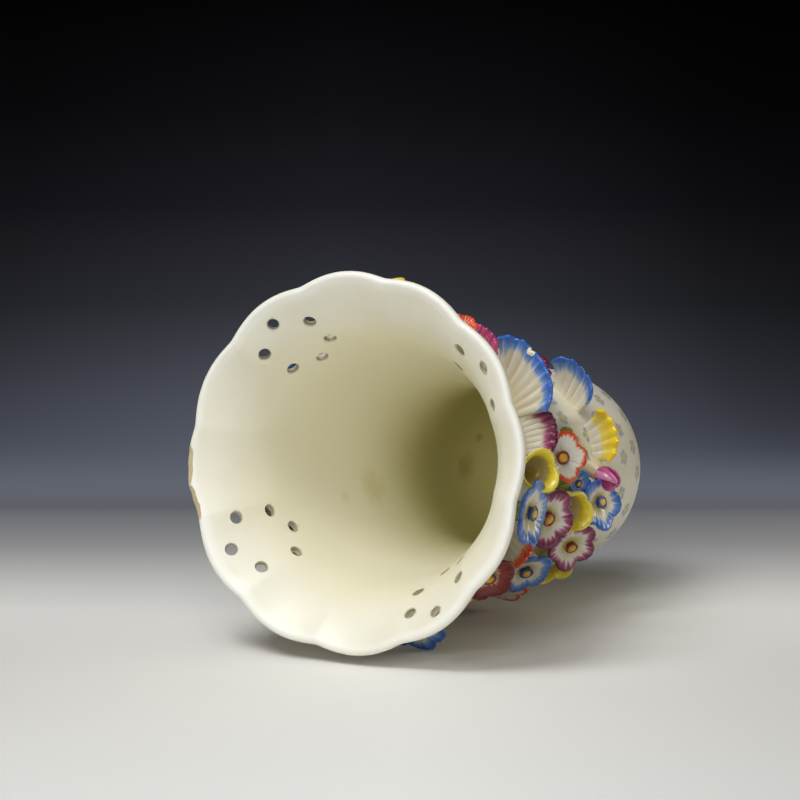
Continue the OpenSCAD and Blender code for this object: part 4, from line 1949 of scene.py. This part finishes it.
@dataclass
class Hearts:
    """Rolled stamens in the middle of the open flowers (millimetres)."""

    planting: PlantingTree
    width: float = 5.6
    height: float = 3.3
    sides: int = 20
    scales: Pair = (0.9, 1.04)
    seed: int = 11
    blue_in: tuple[Tint, ...] = (BLUE, YELLOW)

    def stub(self) -> Object:
        """One rolled stamen: a collar with a knob in it.

        Returns:
            The stamen.
        """
        r, h = self.width / 2, self.height
        line = soften([(0.0, -0.6), (r * 0.95, -0.5), (r * 0.88, h * 0.35), (r * 0.94, h * 0.72),
                       (r * 1.04, h * 0.92), (r * 0.86, h * 1.02), (r * 0.66, h * 0.9),
                       (r * 0.58, h * 1.0), (r * 0.4, h * 1.16), (0.0, h * 1.22)], 30)
        return turned("stamen_stub", line, self.sides)

    def build(self, box: PaintBox, hearts: Sequence[tuple[Spot, Matrix, float]]) -> None:
        """Plants a stamen in each open flower.

        Args:
            box: The finishes.
            hearts: Spot, place and scale of each stamen.
        """
        stub = self.stub()
        for name, finish, tint in (("blue_stamens", BLUE_STAMEN, BLUE),
                                   ("red_stamens", RED_STAMEN, RED)):
            spots = [place @ Matrix.Scale(math.sqrt(size), 4) for spot, place, size in hearts
                     if (spot.tint in self.blue_in) == (tint is BLUE)]
            piece = self.planting.plant(name, spots, stub, box.get(finish), self.scales, self.seed)
            settle(piece, tint.slot)
        drop(stub)


@dataclass
class Leaves:
    """Small green leaves that fill gaps between the flowers (millimetres)."""

    form: VaseForm
    planting: PlantingTree
    length: float = 12.5
    width: float = 5.0
    thickness: float = 1.1
    bed: float = 0.8
    scales: Pair = (0.85, 1.1)
    seed: int = 5
    # Azimuth, height, tilt in degrees and spin in radians of each leaf
    spots: tuple[tuple[float, float, float, float], ...] = (
        (18.0, 84.0, 35.0, 0.4), (-15.4, 92.0, 30.0, -0.5), (-56.0, 128.0, 20.0, 0.3),
        (268.0, 150.0, 5.0, -0.2), (292.0, 158.0, 0.0, 0.5), (33.0, 100.0, 20.0, -0.4),
        (5.0, 74.0, 40.0, 0.2),
        (72.0, 96.0, 15.0, 0.4), (110.0, 98.0, 20.0, -0.3), (147.0, 98.0, 15.0, 0.5),
        (184.0, 102.0, 20.0, -0.4), (222.0, 100.0, 15.0, 0.4), (260.0, 98.0, 20.0, -0.3),
        (143.0, 160.0, 20.0, 0.3), (180.0, 160.0, 15.0, -0.3), (219.0, 160.0, 20.0, 0.4),
        (258.0, 162.0, 15.0, -0.3))

    def blade(self) -> Object:
        """One pointed leaf with a folded midrib and a toothed edge.

        Returns:
            The leaf.
        """
        v = np.concatenate([np.linspace(0, 0.97, 26), [0.985, 1.0]])[:, None]
        u = np.concatenate([np.linspace(-1, -0.9, 4), np.linspace(-0.8, 0.8, 17),
                            np.linspace(0.9, 1, 4)])[None, :]
        outline = np.sin(math.pi * np.clip(v, 0, 1) ** 0.75) ** 0.8
        half_width = self.width / 2 * (0.04 + outline) * (1 + 0.07 * np.sin(40 * v))
        across = u * half_width
        arch = 0.28 * self.length * v ** 2
        fold = 0.30 * np.abs(across) + 0.25 * np.cos(22 * v - 5 * np.abs(u)) * np.abs(u) * outline
        points = np.stack(np.broadcast_arrays(-arch - fold, across, self.length * v), axis=2)
        gap = np.minimum((1 - np.abs(u)) * half_width, (1 - v) * self.length)
        half = rounded_half(np.minimum(gap, v * self.length), self.thickness)
        inward = np.clip(0.35 + 0.65 * np.abs(u), 0, 1)
        skin = Skin()
        skin.shell(points, half, chart(0.1 + 0.3 * v, inward))
        return skin.piece("leaf_blade", [])

    def build(self, box: PaintBox) -> None:
        """Plants the leaves.

        Args:
            box: The finishes.
        """
        places = [self.form.stand(azimuth, z, tilt, bed=self.bed) @ Matrix.Rotation(spin, 4, "Z")
                  for azimuth, z, tilt, spin in self.spots]
        blade = self.blade()
        piece = self.planting.plant("green_leaves", places, blade, box.get(LEAF_GREEN),
                                    self.scales, self.seed)
        drop(blade)
        settle(piece, "yellow_painted")


# The studio


@dataclass(frozen=True)
class Lamp:
    """Soft round lamp that faces the vase (millimetres).

    Attributes:
        name: Its name.
        spot: Distance to the right, up and towards the camera from the aim.
        size: Its diameter.
        power: Its power in watts.
        colour: Its colour.
    """

    name: str
    spot: Triple
    size: float
    power: float
    colour: Colour = (1.0, 1.0, 1.0)


def greys(*stops: Pair) -> list[tuple[float, Colour]]:
    """Stops of a ramp of greys."""
    return [(place, (level, level, level)) for place, level in stops]


@dataclass(frozen=True)
class Studio:
    """Camera, sweep and lamps, placed about the vase as it lies (millimetres).

    The axes are those of the picture: right, up from the floor and towards the camera,
    written in the part's own frame.
    """

    eye: Triple = (-31.406, -413.457, 966.826)
    ahead: Triple = (0.06132, 0.45530, -0.88823)
    above: Triple = (0.99716, -0.06685, 0.03458)
    focal_px: float = 2400.0
    frame_px: float = 800.0
    pitch: float = 5.5
    sensor: float = 36.0
    aim_ahead: float = 975.0
    half_width: float = 620.0
    near: float = 520.0
    flat: float = 550.0
    bend: float = 500.0
    bend_deg: float = 82.0
    ramp_start: float = -0.4
    ramp_end: float = 1.2
    air: Colour = (0.66, 0.63, 0.57)
    air_strength: float = 0.012
    lamps: tuple[Lamp, ...] = (
        Lamp("key_box", (-430.0, 870.0, 540.0), 500.0, 5.6),
        Lamp("top_box", (-200.0, 1050.0, 350.0), 700.0, 2.9),
        Lamp("high_front", (-60.0, 640.0, 980.0), 400.0, 2.0),
        Lamp("front_fill", (-230.0, 210.0, 1150.0), 480.0, 2.45),
        Lamp("side_fill", (560.0, 60.0, -110.0), 200.0, 0.55, (1.0, 0.91, 0.8)),
        Lamp("back_top", (150.0, 1050.0, -250.0), 500.0, 0.3))

    def view(self) -> tuple[Vector, Vector, Vector]:
        """Directions to the right, up and ahead in the picture."""
        ahead, above = Vector(self.ahead).normalized(), Vector(self.above).normalized()
        return ahead.cross(above).normalized(), above, ahead

    def axes(self) -> tuple[Vector, Vector, Vector]:
        """Axes of the studio, level with the floor.

        Returns:
            Directions to the right, up from the floor and towards the camera.
        """
        right, above, ahead = self.view()
        pitch = math.radians(self.pitch)
        up = (above * math.cos(pitch) - ahead * math.sin(pitch)).normalized()
        return right, up, right.cross(up).normalized()

    def aim(self) -> Vector:
        """Point that the picture's middle looks at."""
        return Vector(self.eye) + Vector(self.ahead).normalized() * self.aim_ahead

    def place_camera(self) -> None:
        """Makes the camera with the picture's own view."""
        lens = bpy.data.cameras.new("picture_camera")
        lens.sensor_fit, lens.sensor_width = "HORIZONTAL", self.sensor
        lens.lens = self.focal_px / self.frame_px * self.sensor
        lens.clip_start, lens.clip_end = 0.02, 20.0
        right, _, ahead = self.view()
        turn = Matrix((right, right.cross(ahead), -ahead)).transposed().to_4x4()
        camera = stand_object("picture_camera", lens)
        camera.matrix_world = Matrix.Translation(Vector(self.eye) * MM) @ turn
        bpy.context.scene.camera = camera

    def floor_height(self, pieces: Sequence[Object]) -> float:
        """Height, along the floor's normal, of the lowest point of the vase's pieces."""
        up = np.asarray(self.axes()[1])
        return min(float((mesh_points(piece.data) @ up).min()) for piece in pieces)

    def build_sweep(self, floor: float) -> None:
        """Makes the paper sweep, a floor that bends up behind the vase.

        Args:
            floor: Height of the floor along its normal.
        """
        right, up, toward = (np.asarray(axis) for axis in self.axes())
        aim = np.asarray(self.aim())
        base = aim - up * (float(aim @ up) - floor)
        runs = [(-d, 0.0, -d) for d in np.linspace(self.near, 0, 12)[:-1]]
        runs += [(d, 0.0, d) for d in np.linspace(0, self.flat, 14)]
        for swing in np.radians(np.linspace(0, self.bend_deg, 40)[1:]):
            runs.append((self.flat + self.bend * math.sin(swing),
                         self.bend * (1 - math.cos(swing)), self.flat + self.bend * swing))
        widths = np.linspace(-self.half_width, self.half_width, 9)
        points = np.array([[base - toward * back + up * rise + right * side for side in widths]
                           for back, rise, _ in runs])
        uv = np.array([[(side / 1000 + 0.5, run / 1000) for side in widths] for _, _, run in runs])
        sweep = grid_object("paper_sweep", points, uv, self.sweep_finish())
        if np.asarray(sweep.data.polygons[0].normal) @ up < 0:
            sweep.data.flip_normals()
        sweep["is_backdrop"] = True

    def sweep_finish(self) -> Material:
        """Pale paper whose tone darkens as it runs back and whose far part glows, painting the fall
        of the studio light; seen from its upper side alone.

        Returns:
            The material.
        """
        material, bench, shader = start_material("graded_paper")
        uv = bench.uv()
        side, run = bench.axes(uv)[:2]
        share = bench.add("ShaderNodeMapRange", {
            "Value": run, "From Min": self.ramp_start, "From Max": self.ramp_end}).outputs[0]
        # Painted light: the tones paint the fall of light from the front of the floor to the dark
        # back.
        tones = ((-0.305, (243, 243, 240)), (-0.19, (245, 244, 239)), (-0.088, (248, 247, 242)),
                 (-0.004, (247, 246, 242)), (0.044, (235, 235, 232)), (0.098, (211, 211, 210)),
                 (0.156, (183, 183, 185)), (0.293, (105, 108, 116)), (0.521, (81, 85, 95)),
                 (0.69, (65, 68, 77)), (0.835, (39, 40, 45)), (0.95, (22, 21, 27)),
                 (1.047, (11, 11, 13)), (1.143, (4, 4, 5)))
        length = self.ramp_end - self.ramp_start
        tone = bench.ramp(share, [((place - self.ramp_start) / length, paint(*colour))
                                  for place, colour in tones])
        # Painted pool of light: the far paper is brighter in the middle of its width.
        pool = bench.ramp(side, greys((0.2, 0.4), (0.26, 0.5), (0.45, 0.8), (0.6, 0.6),
                                      (0.74, 0.28), (0.8, 0.22)))
        lit = bench.blend(1.0, tone, bench.scaled(pool, 2.0), "MULTIPLY")
        tone = bench.blend(bench.span(run, 0.3, 0.75), tone, lit)
        # Painted light: the front of the floor darkens towards its sides.
        edges = bench.ramp(side, greys((0.33, 0.84), (0.38, 0.89), (0.5, 1.0), (0.62, 0.9),
                                       (0.67, 0.87)))
        tone = bench.blend(bench.span(run, 0.0, -0.12), tone,
                           bench.blend(1.0, tone, edges, "MULTIPLY"))
        fibre = bench.noise(uv, 900.0, 3.0)
        paper = bench.blend(bench.times(fibre, 0.05), tone, (0.5, 0.5, 0.5), "MULTIPLY")
        bench.fill(shader, {"Base Color": paper, "Roughness": 0.85, "Specular IOR Level": 0.2})
        # Painted light: the far paper glows with its tone instead of being lit.
        far = bench.span(run, 0.16, 0.40)
        glow = bench.add("ShaderNodeEmission", {"Color": tone, "Strength": 1.0})
        seen = bench.add("ShaderNodeMixShader", {0: far, 1: shader.outputs[0], 2: glow.outputs[0]})
        back = bench.add("ShaderNodeNewGeometry").outputs["Backfacing"]
        clear = bench.add("ShaderNodeBsdfTransparent")
        sheer = bench.add("ShaderNodeMixShader", {0: back, 1: seen.outputs[0],
                                                  2: clear.outputs[0]})
        output = next(n for n in bench.tree.nodes if n.type == "OUTPUT_MATERIAL")
        bench.feed(output.inputs["Surface"], sheer.outputs[0])
        return material

    def hang(self, lamp: Lamp) -> None:
        """Hangs a lamp.

        Args:
            lamp: The lamp.
        """
        away = sum((axis * far for axis, far in zip(self.axes(), lamp.spot)), Vector())
        disk = bpy.data.lights.new(lamp.name, "AREA")
        disk.shape, disk.size = "DISK", lamp.size * MM
        disk.energy, disk.color = lamp.power, lamp.colour
        held = stand_object(lamp.name, disk)
        held.rotation_euler = (-away).to_track_quat("-Z", "Y").to_euler()
        held.location = (self.aim() + away) * MM

    def light(self) -> None:
        """Hangs the lamps and sets the plain world light."""
        for lamp in self.lamps:
            self.hang(lamp)
        world = bpy.data.worlds.new("studio_air")
        bpy.context.scene.world = world
        world.use_nodes = True
        air = next(n for n in world.node_tree.nodes if n.type == "BACKGROUND")
        air.inputs["Color"].default_value = (*self.air, 1.0)
        air.inputs["Strength"].default_value = self.air_strength


# Planting

UPPER_FRILL = (
    FrillPetal(0, PUCE, 0.72, 2, -3.2), FrillPetal(1, BLUE, 1.11, -2.2, -0.4, chip=0.27),
    FrillPetal(2, PINK, 0.8, -0.5, -1), FrillPetal(3, YELLOW), FrillPetal(4, BLUE, lift=-1),
    FrillPetal(5, PUCE), FrillPetal(6, ORANGE, lift=-1), FrillPetal(7, BLUE),
    FrillPetal(8, YELLOW, lift=-1), FrillPetal(9, PUCE), FrillPetal(10, BLUE, lift=-1),
    FrillPetal(11, YELLOW, 0.7), FrillPetal(12, ORANGE, 0.75, 3, -1))
LOWER_FRILL = (
    FrillPetal(0, YELLOW, 0.88, 3, -1), FrillPetal(1, BLUE, 0.95, 8, 0.1),
    FrillPetal(3, ORANGE, 0.85, -4, -1), FrillPetal(7, BLUE),
    FrillPetal(8, YELLOW, lift=-1), FrillPetal(9, PUCE))


def primroses(rise: float, tilt: float, reach: float,
              *planted: tuple[float, Tint]) -> tuple[Spot, ...]:
    """Primroses of one height, tilt and reach, each with its azimuth and enamel."""
    return tuple(Spot(PRIMROSE, tint, azimuth, rise, tilt, reach) for azimuth, tint in planted)


TOP_ROW = (
    Spot(CUP, YELLOW, -5.8, -0.37, 37.5, 0, size=0.9),
    Spot(PRIMROSE, BLUE, -23.6, 0.19, -2, -0.1, size=1.08, lean=12),
    Spot(FLORET, ORANGE, 57, 0.125, 34, -0.2, True, 0.75),
    Spot(CUP, YELLOW, 89, 0.083, 28, 0.05, True, 0.9),
    Spot(FLORET, RED, 107, 0.125, 30, 0.1, True),
    Spot(PRIMROSE, BLUE, 130, 0.083, 32, 0.042),
    Spot(CUP, YELLOW, 162, 0, 34, 0.083),
    Spot(PRIMROSE, PUCE, 200, 0.083, 32, 0.042),
    Spot(PRIMROSE, ORANGE, 238, 0.104, 33, 0.042),
    Spot(PRIMROSE, BLUE, 277, 0.083, 34, 0.27),
    Spot(PRIMROSE, RED, 310, 0.02, 33, 0, size=0.85))
NECK_ROW = (
    Spot(PRIMROSE, ORANGE, 0.2, 0.02, 33, 0.2, size=0.84),
    Spot(PRIMROSE, PUCE, -26, 0.3, 30, 0.08),
    Spot(PRIMROSE, BLUE, 303, -0.5, 22, 0.15, size=0.9),
    Spot(PRIMROSE, PUCE, 52, 0, 28, 0.04, size=0.74),
    *primroses(0, 28, 0.042, (80, RED), (112, YELLOW), (147, YELLOW), (184, BLUE), (221, PUCE),
               (260, ORANGE)))
WAIST_ROW = (
    Spot(CUP, YELLOW, -24.1, 0.017, 26.5, 0.125),
    Spot(FLORET, BLUE, -12, -0.41, 24, -0.1, size=0.7),
    Spot(PRIMROSE, PUCE, 53, 0, 24, 0, size=0.9),
    *primroses(0, 24, 0, (91, BLUE), (129, ORANGE), (166, PUCE), (203, YELLOW), (241, BLUE)),
    Spot(PRIMROSE, RED, 274, 0, 24, 0, size=0.9))
SHOULDER_ROW = (
    Spot(BUD, PINK, 2.4, -0.22, 16, 0.2, size=0.94, lean=-36),
    Spot(PRIMROSE, BLUE, -26.2, -0.14, 20, 0.15, size=0.93, lean=22),
    Spot(PRIMROSE, PUCE, -40.2, 0.22, 28, 0.26, size=0.9),
    Spot(CUP, YELLOW, 302, -0.083, 20, 0.05, size=0.85),
    *primroses(-0.125, 20, 0.042, (272, ORANGE), (98, BLUE), (128, PUCE), (158, BLUE)))


def main() -> None:
    """Builds the studio and the vase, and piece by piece."""
    logging.basicConfig(level=logging.INFO, format="%(name)s: %(message)s")
    bpy.context.scene.view_settings.view_transform = "Standard"
    form = VaseForm()
    box = PaintBox()
    PiercedMouth(form).build(box)
    VaseBody(form).build(box)
    upper_z, lower_z = form.joint_z - form.upper_frill_drop, form.bulb_z + form.lower_frill_rise
    Frill(form, "upper", upper_z, edge_r=65.0, petals=UPPER_FRILL).build(box)
    Frill(form, "lower", lower_z, edge_r=57.0, petals=LOWER_FRILL, flutes=5, flute_h=0.6,
          scallop=1.3, seed=750).build(box)
    neck_z, shoulder_z = upper_z - form.neck_row_drop, lower_z + form.shoulder_row_rise
    rows = (FlowerRow(form, "top", form.joint_z - form.top_row_drop, TOP_ROW),
            FlowerRow(form, "neck", neck_z, NECK_ROW),
            FlowerRow(form, "waist", (neck_z + shoulder_z) / 2, WAIST_ROW),
            FlowerRow(form, "shoulder", shoulder_z, SHOULDER_ROW))
    hearts = [heart for row in rows for heart in row.build(box)]
    planting = PlantingTree()
    Hearts(planting).build(box, hearts)
    Leaves(form, planting).build(box)
    studio = Studio()
    studio.place_camera()
    studio.build_sweep(studio.floor_height(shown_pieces()))
    studio.light()


if __name__ == "__main__":
    main()
